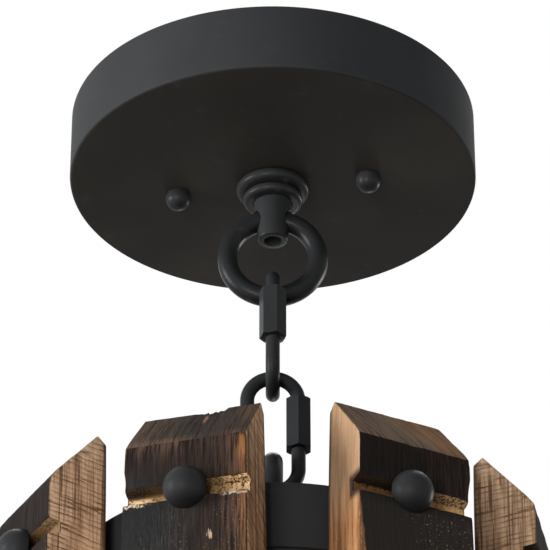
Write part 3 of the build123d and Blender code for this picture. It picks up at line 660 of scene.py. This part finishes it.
def straight_stave():
    """A stave before it is bent: front at y 0, back at y thick, top at z 0, as wide as its middle."""
    bpy.ops.object.select_all(action="DESELECT")
    bpy.ops.mesh.primitive_cube_add(size=1, location=(0, STAVE_THICK / 2, -STAVE_LENGTH / 2))
    bpy.context.object.scale = (2 * STAVE_MIDDLE_HALF, STAVE_THICK, STAVE_LENGTH)
    piece = name_new("stave_blank")
    crest = STAVE_THICK - CHIME_CREST
    cuts = [((0, 0, -CHIME_HEIGHT), (0, -CHIME_HEIGHT, crest)),
            ((0, STAVE_THICK, -CHIME_CREST), (0, CHIME_CREST, CHIME_CREST))]
    bpy.ops.object.mode_set(mode="EDIT")
    for place, facing in cuts:
        for end in (1, -1):
            spot = (0, place[1], place[2] if end > 0 else -STAVE_LENGTH - place[2])
            outside = Vector((0, facing[1], end * facing[2])).normalized()
            slice_at(spot, outside, clear_outer=True, use_fill=True)
    rows = [GROOVE_FROM_END + step for step in (-GROOVE_MOUTH, -GROOVE_ROOT, GROOVE_ROOT, GROOVE_MOUTH)]
    for row in rows + [STAVE_LENGTH - row for row in rows]:
        slice_at((0, 0, -row), (0, 0, 1))
    bpy.ops.object.mode_set(mode="OBJECT")
    for vertex in piece.data.vertices:
        from_end = min(-vertex.co.z, STAVE_LENGTH + vertex.co.z)
        vertex.select = vertex.co.y < HAIR and abs(from_end - GROOVE_FROM_END) < GROOVE_ROOT + HAIR
    bpy.ops.object.mode_set(mode="EDIT")
    bpy.ops.mesh.select_mode(type="VERT")
    bpy.ops.transform.translate(value=(0, GROOVE_DEPTH, 0))
    bpy.ops.object.mode_set(mode="OBJECT")
    soften(piece, STAVE_EDGE, 25)
    return piece


def slice_up():
    """Cuts the active piece into a fine grid near a stave's ends and a coarser one between."""
    bpy.ops.object.mode_set(mode="EDIT")
    fine = [FINE_ROW * i for i in range(1, FINE_ROWS + 1)]
    coarse = [COARSE_START + COARSE_ROW * i for i in range(COARSE_ROWS)]
    for row in fine + coarse + [STAVE_LENGTH - row for row in fine]:
        slice_at((0, 0, -row), (0, 0, 1))
    columns = [COLUMN * i for i in range(-COLUMNS_ASIDE, COLUMNS_ASIDE + 1)]
    columns += [COLUMN * i + COLUMN / 2 for i in range(*RAGGED_COLUMNS)]
    for column in columns:
        slice_at((column, 0, 0), (1, 0, 0))
    for slice_depth in SLICE_DEPTHS:
        slice_at((0, slice_depth, 0), (0, 1, 0))
    bpy.ops.object.mode_set(mode="OBJECT")


def bend_place(across, depth, along):
    """Where a point of the straight stave goes on the bent stave at angle 0: (outward, sideways, up)."""
    turn = (along - GROOVE_FROM_END) / (STAVE_BEND + STAVE_THICK)
    radius = STAVE_BEND + depth
    outward = STAVE_BACK + STAVE_BEND + STAVE_THICK - radius * math.cos(turn)
    height = BOLT_LEVEL - radius * math.sin(turn)
    from_middle = (along - STAVE_LENGTH / 2) / (STAVE_LENGTH / 2 + STAVE_THICK)
    half = STAVE_END_HALF + (STAVE_MIDDLE_HALF - STAVE_END_HALF) * (1 - from_middle ** 2)
    return outward, across * half / STAVE_MIDDLE_HALF, height


def fade(distance, reach):
    """1 at a line, falling to 0 at some reach from it."""
    return max(0, 1 - distance / reach)


def ripple(x, y, z):
    """Smooth noise about 0."""
    return noise.noise(Vector((x, y, z)))


def worn(across, depth, along, seed, chips):
    """Wears a point inwards: fibres on the char, dents on the edges, small teeth along the crest."""
    fibre = ripple(across * 420, depth * 300, along * 24 + seed * 7.3)
    from_end = min(along, STAVE_LENGTH - along)
    chime_depth = (STAVE_THICK - CHIME_CREST) * (1 - min(from_end, CHIME_HEIGHT) / CHIME_HEIGHT)
    to_front = max(depth - chime_depth, 0)
    to_side = STAVE_MIDDLE_HALF - abs(across)
    skin = fade(to_front, CHAR_SKIN)
    depth += skin * FIBRE_RELIEF * (1 + fibre)
    corner = fade(math.hypot(to_front, to_side), EDGE_REACH)
    dent = max(0, ripple(across * 40, depth * 90, along * 62 + seed * 3.1) - 0.05)
    dent *= 0.2 if from_end < CHIME_HEIGHT else 1
    depth += corner * dent * DENT_DEPTH
    across -= math.copysign(corner * dent * DENT_SIDE, across)
    shoulder = fade(abs(from_end - CHIME_HEIGHT), EDGE_REACH) * skin
    nick = max(0, ripple(across * 130, seed * 5.7, 2.2))
    depth += shoulder * (SHOULDER_WEAR + nick * SHOULDER_NICK)
    lip = fade(abs(from_end - GROOVE_FROM_END) - GROOVE_MOUTH, LIP_REACH) * skin
    depth += lip * max(0, ripple(across * 210, seed * 2.3, along * 300)) * LIP_TEAR
    if along < CREST_REACH:
        ragged = max(0, 1 - ((across - RAGGED_MIDDLE) / RAGGED_HALF) ** 2)
        teeth = 0.5 * ripple(across * 420, seed, 0.3) + ripple(across * 1250, seed, 4)
        broken = min(max((BROKEN_END - across) / BROKEN_FADE, 0), 1)
        broken *= max(0, 0.75 + 0.25 * across / STAVE_MIDDLE_HALF)
        fall = broken * 0.42 * (1 - along / CREST_REACH)
        fall += max(0, teeth + 0.2) * ragged * 0.6 * fade(along, TOOTH_REACH)
        along += fall * chips
    return across, depth, along


def oak_char():
    """Charred oak: black front, brown chime, raw sawn sides and a golden groove."""
    finish = Finish("charred_oak_stave")
    blend, step, speckle = finish.blend, finish.step, finish.speckle

    def attribute(name):
        """Three numbers that the mesh carries for each point or face."""
        return finish.node("ShaderNodeAttribute", {"attribute_name": name}, out=1)

    def numbers(vector):
        """The three numbers of a vector, one by one."""
        split = finish.node("ShaderNodeSeparateXYZ", None, {0: vector}).socket.node
        return [Shade(finish, output) for output in split.outputs]

    def lines(first, second, third, detail=3.0):
        """Noise over three numbers, for saw marks and grain that run in their own direction."""
        spot = finish.node("ShaderNodeCombineXYZ", None, {0: first, 1: second, 2: third})
        return finish.node("ShaderNodeTexNoise", None,
                           {"Vector": spot, "Scale": 1.0, "Detail": detail, "Roughness": 0.6})

    def layers(tone, rows):
        """Lays tones over a first one, each by its share."""
        for share, over in rows:
            tone = blend(share, tone, over)
        return tone

    def chip(where_across, where_along, wide, tall):
        """A broken-out spot with a torn edge."""
        x, y = (across - where_across) * (1 / wide), (along - where_along) * (1 / tall)
        return step(x * x + y * y + crackle * 4.4, 2.9, 2.2)

    side, chime, groove = numbers(attribute("cut"))
    warm, hatch, pale = numbers(attribute("tone"))
    across, depth, along = numbers(attribute("place"))
    grain = attribute("grain")
    across_seeded, _, along_seeded = numbers(grain)
    front_stave = step(warm, 0.85, 0.95)

    fibre = speckle(grain, (1450, 1450, 75), detail=5, roughness=0.68)
    streak = speckle(grain, (640, 640, 42), detail=5, offset=(2, 5, 1))
    board = speckle(grain, (90, 140, 5), detail=3, offset=(6, 1, 8))
    patch = speckle(grain, (60, 60, 34), detail=4, offset=(9, 2, 3))
    pores = speckle(grain, (2100, 2100, 240), detail=2, roughness=0.7, offset=(1, 8, 4))
    crumbs = speckle(grain, (760, 760, 760), detail=3, roughness=0.7, offset=(4, 4, 9))
    crackle = speckle(grain, (1300, 1300, 190), detail=4, roughness=0.7, offset=(7, 3, 2))

    # The charred front, greyer with ash below the groove and brown where the char has rubbed off
    below_groove = step(along, 0.05, 0.057)
    ash = below_groove * step(across + patch * 0.022, 0.022, -0.002) * warm
    cool = step(across + patch * 0.024, 0.006, -0.006) * step(along + patch * 0.012, 0.037, 0.047)
    shoulder = step(along, 0.0235, 0.025) * step(along + fibre * 0.018, 0.043, 0.031)
    shoulder = shoulder * (0.35 + 0.65 * step(across, 0.008, -0.006))
    haze = step(across + patch * 0.016, 0.022, 0.034) * step(along, 0.0236, 0.0262) * front_stave
    glow = step(across + patch * 0.006 + streak * 0.008, 0.0312, 0.0362) * step(along, 0.0238, 0.0275)
    glow = glow * (0.3 + 0.7 * step(along + patch * 0.006, 0.046, 0.034)) * front_stave
    rubbed = step(across + patch * 0.012 + streak * 0.01, 0.034, 0.043) * below_groove
    rubbed = rubbed * (0.25 + 0.75 * front_stave)
    arris = step(across, 0.0287, 0.0296)
    torn = step(along, 0.0505, 0.0513) * step(along + crumbs * 0.005, 0.0558, 0.0546)
    torn = torn * step(across * across + patch * 0.0006, 0.0005, 0.0008) * step(crumbs, 0.56, 0.46)
    flecks = step(speckle(grain, (1000, 1000, 900), detail=2, offset=(5, 2, 6)), 0.635, 0.68)
    flecks = flecks * step(patch + across * 5.0, 0.44, 0.6) * below_groove * (1 - front_stave * 0.6)
    bare = step(across - along * 0.13 + crackle * 0.003, -0.0347, -0.0356) * below_groove
    bare = bare * step(pale, 0.7, 0.85)
    char = blend(step(streak, 0.38, 0.64), (0.0155, 0.0115, 0.01), (0.039, 0.0262, 0.0215))
    char = layers(char, [
        (step(fibre, 0.52, 0.76) * 0.7, (0.066, 0.048, 0.04)),
        (step(fibre, 0.47, 0.33) * 0.85, (0.008, 0.0068, 0.0062)),
        ((1 - warm) * 0.62 * step(across + patch * 0.012, 0.018, 0.002), (0.0105, 0.0103, 0.0093)),
        (hatch * (1 - pale) * 0.5, (0.0135, 0.0126, 0.0124)),
        (ash * 0.75, (0.029, 0.0291, 0.029)),
        (ash * step(crackle, 0.5, 0.38), (0.011, 0.0108, 0.0105)),
        (ash * step(crackle, 0.56, 0.68) * 0.8, (0.064, 0.0652, 0.0656)),
        (below_groove * pale * 0.6, (0.043, 0.038, 0.032)),
        (cool * warm * 0.6, (0.019, 0.0194, 0.02)),
        (shoulder * step(fibre + streak, 0.94, 1.14) * front_stave, (0.125, 0.078, 0.052)),
        (haze * step(fibre + streak, 0.86, 1.1) * 0.8, (0.105, 0.058, 0.038)),
        (glow * (0.55 + 0.45 * step(fibre, 0.38, 0.55)), (0.4, 0.172, 0.064)),
        (rubbed * step(fibre, 0.44, 0.6) * 0.7, (0.21, 0.11, 0.058)),
        (arris * 0.85, (0.013, 0.009, 0.007)),
        (torn * front_stave, (0.7, 0.58, 0.43)),
        (flecks * 0.75, (0.36, 0.33, 0.29)),
        (chip(0.012, 0.0698, 0.0014, 0.0028) * front_stave, (0.46, 0.33, 0.24)),
        (bare, (0.25, 0.115, 0.055)),
        (bare * step(crackle, 0.56, 0.64), (0.58, 0.42, 0.27)),
    ])

    # The chime's bevel, with the slanting marks of the cooper's tool
    tool = lines(across_seeded * 950 - along_seeded * 330, along_seeded * 24, 3.1, detail=4.0)
    down = lines(across_seeded * 900, along_seeded * 46, 5.5, detail=5.0)
    brown_foot = step(along + patch * 0.01, 0.0245, 0.029) * step(across, 0.006, -0.008) * warm
    red_end = step(across - along * 0.9 + patch * 0.01, 0.016, 0.026) * warm
    rust = step(across - along * 0.7 + patch * 0.012, -0.006, 0.014) * pale
    grey = step(across + patch * 0.03, 0.002, 0.014) * step(along + patch * 0.008, 0.029, 0.023)
    grey = grey * step(across - along * 0.5 + patch * 0.012, 0.03, 0.021)
    bevel = blend(step(patch + board * 0.4, 0.5, 0.92), (0.027, 0.0236, 0.0225), (0.046, 0.037, 0.033))
    bevel = layers(bevel, [
        (step(down, 0.52, 0.66) * 0.8 * warm, (0.095, 0.07, 0.057)),
        (step(across + patch * 0.012, -0.008, -0.02) * warm * 0.6, (0.094, 0.066, 0.05)),
        (brown_foot * 0.8, (0.135, 0.086, 0.06)),
        (red_end * 0.6, (0.05, 0.032, 0.026)),
        (pale * 0.9, (0.28, 0.195, 0.133)),
        (rust * 0.9, (0.37, 0.19, 0.083)),
        (step(tool, 0.52, 0.64) * pale * 0.7, (0.3, 0.2, 0.13)),
        (step(tool, 0.48, 0.38) * (0.15 + pale * 0.7), (0.03, 0.0195, 0.0145)),
        (grey * front_stave * 0.6, (0.032, 0.0312, 0.0308)),
        (step(down, 0.48, 0.38) * (0.8 - 0.5 * pale), (0.0125, 0.0108, 0.0102)),
        (chip(0.0042, 0.008, 0.0013, 0.0052) * front_stave, (0.36, 0.2, 0.14)),
    ])

    # The sawn sides: oak grain along the stave, saw marks across or aslant it
    across_marks = lines(along_seeded * 760 - depth * 120, along_seeded * 45, depth * 70)
    slant_marks = lines(along_seeded * 720 - depth * 240, along_seeded * 30, depth * 60)
    grain_lines = lines(depth * 620, along_seeded * 7, along_seeded * 3, detail=4.0)
    broad_lines = lines(depth * 210, along_seeded * 14, 8.1)
    swing = (along_seeded * 430 - depth * 70 + patch * 1.6 + across_marks * 0.8) * SAW_TURN
    saw = finish.node("ShaderNodeMath", {"operation": "SINE"}, {0: swing})
    scored = step(patch + board * 0.5, 0.5, 0.78) * 0.6 + 0.4
    scored = scored * step(across_marks, 0.36, 0.58)
    streaks = lines(depth * 520, along_seeded * 20, 4.4, detail=4.0)
    streaked = step(along + patch * 0.012, 0.014, 0.021) * step(along + patch * 0.03, 0.072, 0.052)
    fine_streaks = lines(depth * 1150, along_seeded * 24, 6.1, detail=2.0)
    figure = lines(depth * 400, along_seeded * 26, 2.2, detail=5.0)
    planed = pale * step(along + patch * 0.02, 0.085, 0.045)
    low = pale * step(along + patch * 0.02, 0.045, 0.08)
    edges = step(depth + patch * 0.003, 0.0252, 0.0272) * 0.85
    scorch = step(depth + patch * 0.003, 0.0026, 0.0012)
    near_groove = step(depth + patch * 0.005, 0.0126, 0.0102) * step(along + patch * 0.004, 0.0425, 0.0465)
    near_groove = near_groove * step(along + patch * 0.004, 0.0575, 0.0535)
    raw = blend(step(streak, 0.34, 0.68), (0.55, 0.335, 0.195), (0.76, 0.52, 0.35))
    raw = layers(raw, [
        (hatch * (1 - pale) * 0.3, (0.95, 0.7, 0.48)),
        (warm * 0.45, (0.88, 0.61, 0.39)),
        (step(board, 0.42, 0.66) * 0.45, (0.36, 0.205, 0.112)),
        (step(patch, 0.52, 0.72) * 0.45, (0.3, 0.165, 0.088)),
        (step(saw, 0.2, 1.0) * hatch * scored * (0.9 - 0.85 * pale), (0.14, 0.072, 0.038)),
        (step(across_marks, 0.57, 0.65) * hatch * (0.85 - pale), (0.1, 0.052, 0.028)),
        (step(grain_lines, 0.57, 0.65) * (0.8 - 0.62 * pale), (0.105, 0.053, 0.026)),
        (step(slant_marks, 0.47, 0.57) * (1 - hatch) * (0.66 - 0.6 * pale), (0.13, 0.07, 0.033)),
        (step(broad_lines, 0.55, 0.64) * (1 - hatch) * (0.8 - 0.55 * pale), (0.085, 0.042, 0.02)),
        (step(streaks, 0.51, 0.6) * hatch * (0.35 + 0.5 * streaked), (0.1, 0.053, 0.028)),
        (step(fine_streaks, 0.52, 0.6) * hatch * streaked * 0.6, (0.16, 0.09, 0.05)),
        (step(figure, 0.46, 0.66) * 0.5, (0.3, 0.17, 0.092)),
        (planed * 0.75, (0.4, 0.245, 0.138)),
        (planed * step(figure, 0.5, 0.68) * 0.6, (0.24, 0.135, 0.075)),
        (low * 0.85, (0.45, 0.2, 0.07)),
        (low * step(figure, 0.46, 0.62) * 0.75, (0.14, 0.06, 0.025)),
        (low * step(crackle, 0.6, 0.7) * 0.8, (0.7, 0.5, 0.34)),
        (edges, (0.06, 0.034, 0.019)),
        (scorch * (0.85 - pale * 0.6), (0.05, 0.027, 0.015)),
        (near_groove * pale, (0.018, 0.013, 0.011)),
    ])

    # The groove: golden at its root, bare along its lower lip, with soot; painted shade on its upper wall,
    # under its upper lip and round the ball head, and painted light on its lower part on pale staves
    upper_wall = step(along + crumbs * 0.002, 0.0474, 0.0462)
    # Soot and painted shade over the upper half of the groove, all but its right end
    soot_and_shade = step(across + patch * 0.03, 0.024, 0.01) * step(along + crumbs * 0.004, 0.0492, 0.0478)
    # Painted shade on the groove round the ball head
    ball_head_shade = step(across * across + crumbs * 0.0002, 0.00058, 0.0003)
    burnt = pale * step(across, 0.006, -0.004) * step(along + crumbs * 0.004, 0.0537, 0.0517)
    # Painted shade under the upper lip on the groove's left part
    lip_shade = step(along + crumbs * 0.003, 0.0468, 0.0456) * step(across, 0.016, 0.008)
    gold = blend(step(crumbs, 0.4, 0.54) * 0.6, (0.95, 0.66, 0.36), (0.52, 0.29, 0.115))
    gold = layers(gold, [
        # Dark specks, more of them on the upper wall as painted shade
        (step(crumbs + upper_wall * 0.035, 0.51, 0.6), (0.075, 0.038, 0.016)),
        (step(along + patch * 0.0014, 0.0502, 0.0514) * 0.8, (0.78, 0.64, 0.46)),
        (step(hatch, 0.6, 1.0) * 0.85, (0.125, 0.073, 0.036)),
        # Soot and painted shade in the groove's upper half
        (soot_and_shade * 0.96, (0.013, 0.009, 0.0068)),
        # Painted shade round the ball head
        (ball_head_shade * (0.8 - 0.6 * pale), (0.13, 0.072, 0.03)),
        # Pale staves: painted light in brighter gold below the upper wall, painted shade on the upper wall
        (pale * (1 - upper_wall) * 0.6, (0.85, 0.5, 0.22)),
        (pale * upper_wall * 0.5, (0.05, 0.028, 0.014)),
        (burnt * 0.95, (0.012, 0.008, 0.006)),
        (burnt * (1 - upper_wall) * step(crumbs, 0.47, 0.57) * 0.7, (0.3, 0.14, 0.05)),
        (lip_shade * 0.6, (0.05, 0.028, 0.015)),
    ])

    back = blend(streak, (0.19, 0.125, 0.08), (0.1, 0.068, 0.047))
    behind = step(depth, 0.0255, 0.0263)

    colour = blend(chime, char, bevel)
    colour = blend(behind, colour, back)
    colour = blend(side, colour, raw)
    colour = blend(groove, colour, gold)
    rough = 0.66 + pores * 0.25
    relief = fibre * 0.5 + pores * 0.3 + streak * 0.5 + crumbs * groove * 1.5 + saw * side * hatch * 0.12
    return finish.surface(colour, rough, relief, depth=0.0008, strength=0.7, **{"Specular IOR Level": 0.03})


def stave_faces(mesh):
    """Marks each face of the straight stave: sawn side, chime or groove."""
    marks = []
    for face in mesh.polygons:
        middle, facing = face.center, face.normal
        from_end = min(-middle.z, STAVE_LENGTH + middle.z)
        in_groove = abs(from_end - GROOVE_FROM_END) < GROOVE_MOUTH - HAIR
        in_groove = in_groove and GROOVE_SPARE < middle.y < GROOVE_DEPTH + GROOVE_SPARE
        side = abs(facing.x) > 0.75
        groove = in_groove and not side
        chime = not side and from_end < CHIME_HEIGHT and facing.y < 0.5 and abs(facing.z) > 0.3
        marks += [float(side), float(chime), float(groove)]
    return marks


def stave_turn(stave):
    """Turns a stave from angle 0 to its place round the hub."""
    return Matrix.Rotation(math.radians(FIRST_STAVE + stave["place"]), 4, "Z")


OAK = oak_char()
blank = straight_stave()
slice_up()
marks = stave_faces(blank.data)
for number, stave in enumerate(STAVES, 1):
    mesh = blank.data.copy()
    mesh.name = f"barrel_stave_{number}"
    piece = bpy.data.objects.new(f"barrel_stave_{number}", mesh)
    scene.collection.objects.link(piece)
    cuts = mesh.attributes.new("cut", "FLOAT_VECTOR", "FACE")
    cuts.data.foreach_set("vector", marks)
    grain = mesh.attributes.new("grain", "FLOAT_VECTOR", "POINT")
    places = mesh.attributes.new("place", "FLOAT_VECTOR", "POINT")
    tone = mesh.attributes.new("tone", "FLOAT_VECTOR", "POINT")
    tone.data.foreach_set("vector", stave["tone"] * len(mesh.vertices))
    turn = stave_turn(stave)
    for index, vertex in enumerate(mesh.vertices):
        across, depth, along = vertex.co.x, vertex.co.y, -vertex.co.z
        grain.data[index].vector = (across, depth, along + GRAIN_SHIFT * number)
        places.data[index].vector = (across, depth, along)
        outward, sideways, height = bend_place(*worn(across, depth, along, number, stave["chips"]))
        vertex.co = turn @ Vector((outward, sideways + stave["shift"], height + stave["lift"]))
    mesh.flip_normals()
    select_only(piece)
    smooth(28)
    hang(piece, "fixture", OAK, f"stave_{number}")
bpy.data.objects.remove(blank, do_unlink=True)


# Ball bolts. Steel bolts with satin black ball heads, one in each groove, through the stave.
# The upper ones clamp the staves to the hub and the lower ones to the hoop.
BALL_RADIUS = 0.0089
BALL_PROUD = 0.001
BALL_SEAT = 0.0001
BOLT_RADIUS = 0.004
BOLT_REACH = 0.0445
BOLT_EDGE = 0.0005
LOWER_TILT = (STAVE_LENGTH - 2 * GROOVE_FROM_END) / (STAVE_BEND + STAVE_THICK)

seat_angle = math.degrees(math.asin((BALL_SEAT - BALL_PROUD) / BALL_RADIUS))
bolt_outline = [(0, -BOLT_REACH), (BOLT_RADIUS - BOLT_EDGE, -BOLT_REACH),
                (BOLT_RADIUS, -BOLT_REACH + BOLT_EDGE), (BOLT_RADIUS, BALL_SEAT)]
bolt_outline += arc((0, BALL_PROUD), BALL_RADIUS, seat_angle, 90, steps=32)
BALL_COAT = black_coat("black_ball_coat", upright=(0.032, 0.0329, 0.0342), under=(0.015, 0.0145, 0.014),
                       sheen=0.03, dull=0.3, scuffs=0.2)
bolt = turned("ball_bolt", bolt_outline, sides=72)
lower_bolts = STAVE_LENGTH - GROOVE_FROM_END
for row, along, tilt in (("upper", GROOVE_FROM_END, 0.0), ("lower", lower_bolts, LOWER_TILT)):
    outward, _, height = bend_place(0, 0, along)
    lean = Matrix.Rotation(math.radians(90) - tilt, 4, "Y")
    for number, stave in enumerate(STAVES, 1):
        mesh = bolt.data.copy()
        piece = bpy.data.objects.new(f"{row}_ball_bolt_{number}", mesh)
        scene.collection.objects.link(piece)
        mesh.transform(stave_turn(stave) @ Matrix.Translation((outward, 0, height + stave["lift"])) @ lean)
        hang(piece, "fixture", BALL_COAT, f"{row}_ball_bolts")
bpy.data.objects.remove(bolt, do_unlink=True)


# Lower hoop. A flared band of hoop steel, bolted inside the lower ends of the staves.
# The band has the thin black scale of an old barrel hoop.
HOOP_HALF_WIDTH = 0.02
HOOP_GAP = 0.0003
HOOP_THICK = 0.003
HOOP_EDGE = 0.0006

near, far = STAVE_THICK + HOOP_GAP, STAVE_THICK + HOOP_GAP + HOOP_THICK
hoop_outline = []
for side, depth in [(-1, near), (1, near), (1, far), (-1, far), (-1, near)]:
    outward, _, height = bend_place(0, depth, lower_bolts + side * HOOP_HALF_WIDTH)
    hoop_outline.append((outward, height))
hoop = turned("lower_hoop_band", hoop_outline, sides=240)
soften(hoop, HOOP_EDGE, 30)
smooth(40)
hang(hoop, "fixture", STEEL_COAT, "lower_hoop")


# Lamps. A hollow black stem under the drum carries a turned housing with four lampholders.
# Clear bulbs with brass caps hang in them, and a ball finial closes the stem.
CLUSTER_RADIUS = 0.075
CLUSTER_LOW = -0.5493
CLUSTER_TOP = -0.5193
CLUSTER_RIM = 0.012
CLUSTER_CROWN = 0.019
CLUSTER_EDGE = 0.0024
LAMP_RADIUS = 0.048
HOLDER_RADIUS = 0.019
HOLDER_LENGTH = 0.052
HOLDER_WALL = 0.0015
HOLDER_ROOF = 0.018
HOLDER_SHOULDER = 0.0076
BULB_TOP = -0.5676
CAP_RADIUS = 0.013
CAP_LENGTH = 0.025
CAP_SHOULDER = 0.005
CAP_RIDGES = 5
RIDGE_START = 0.007
RIDGE_PITCH = 0.003
RIDGE_HEIGHT = 0.0012
BULB_RADIUS = 0.031
BULB_LENGTH = 0.088
BULB_NECK = 0.0135
GLASS = 0.001
BULB_STEPS = 16


def brass():
    """Bright rolled brass."""
    finish = Finish("cap_brass")
    where = finish.place()
    cloud = finish.speckle(where, (150, 150, 150))
    tone = finish.blend(cloud, (0.72, 0.52, 0.24), (0.55, 0.38, 0.16))
    return finish.surface(tone, cloud * 0.2 + 0.22, Metallic=1.0)


def clear_glass():
    """Clear glass with the slightest waviness."""
    finish = Finish("bulb_glass")
    where = finish.place()
    wave = finish.speckle(where, (40, 40, 40))
    tone = finish.blend(wave, (0.99, 0.98, 0.95), (0.97, 0.95, 0.9))
    return finish.surface(tone, 0.03, **{"Transmission Weight": 1.0, "IOR": 1.45})


dress(STEEL_COAT, "lamp_stem", "stem_collar", "finial")
cluster_outline = [(STEM_HOLE, CLUSTER_LOW)]
rim = CLUSTER_RADIUS - CLUSTER_EDGE
cluster_outline += arc((rim, CLUSTER_LOW + CLUSTER_EDGE), CLUSTER_EDGE, -90, 0)
cluster_outline += arc((rim, CLUSTER_LOW + CLUSTER_RIM - CLUSTER_EDGE), CLUSTER_EDGE, 0, 60)
cluster_outline += [(CLUSTER_CROWN, CLUSTER_TOP), (STEM_HOLE, CLUSTER_TOP), (STEM_HOLE, CLUSTER_LOW)]
hang(turned("lamp_cluster_housing", cluster_outline), "fixture", SHEET_COAT, "lamp_cluster")

BRASS, CLEAR = brass(), clear_glass()
holder_low, holder_roof = CLUSTER_LOW - HOLDER_LENGTH, CLUSTER_LOW - HOLDER_ROOF
inside, crown = HOLDER_RADIUS - HOLDER_WALL, HOLDER_RADIUS - HOLDER_SHOULDER
holder_outline = [(0, CLUSTER_LOW), (crown, CLUSTER_LOW)]
holder_outline += arc((crown, CLUSTER_LOW - HOLDER_SHOULDER), HOLDER_SHOULDER, 90, 0, steps=10)
holder_outline += [(HOLDER_RADIUS, holder_low), (inside, holder_low), (inside, holder_roof), (0, holder_roof)]
cap_low = BULB_TOP - CAP_LENGTH
dip = CAP_RADIUS - RIDGE_HEIGHT
cap_outline = [(0, BULB_TOP), (CAP_RADIUS / 2, BULB_TOP), (dip, BULB_TOP - CAP_SHOULDER)]
for thread in range(CAP_RIDGES):
    ridge = BULB_TOP - RIDGE_START - RIDGE_PITCH * thread
    cap_outline += [(CAP_RADIUS, ridge), (dip, ridge - RIDGE_PITCH / 2)]
cap_outline += [(CAP_RADIUS - RIDGE_HEIGHT / 2, cap_low), (0, cap_low)]
belly = cap_low - BULB_LENGTH + BULB_RADIUS


def bulb_side(inset):
    """Outline of the bulb from its neck round to its foot."""
    neck, wide = BULB_NECK - inset, BULB_RADIUS - inset
    points = []
    for step in range(BULB_STEPS + 1):
        down = step / BULB_STEPS
        ease = down * down * (3 - 2 * down)
        points.append((neck + (wide - neck) * ease, cap_low - inset + (belly - cap_low + inset) * down))
    return points + arc((0, belly), wide, 0, -90, steps=20)[1:]


bulb_outline = [(0, cap_low)] + bulb_side(0) + list(reversed(bulb_side(GLASS))) + [(0, cap_low - GLASS)]
for number in range(1, 5):
    turn = math.radians(90 * number - 45)
    spot = (LAMP_RADIUS * math.cos(turn), LAMP_RADIUS * math.sin(turn))
    holder = turned(f"lampholder_cup_{number}", holder_outline, sides=72, axis_place=spot)
    hang(holder, "fixture", STEEL_COAT, f"lampholder_{number}")
    cap = turned(f"bulb_screw_cap_{number}", cap_outline, sides=72, axis_place=spot)
    hang(cap, "fixture", BRASS, f"bulb_cap_{number}")
    bulb = turned(f"bulb_envelope_{number}", bulb_outline, sides=96, axis_place=spot)
    hang(bulb, "fixture", CLEAR, f"bulb_{number}")
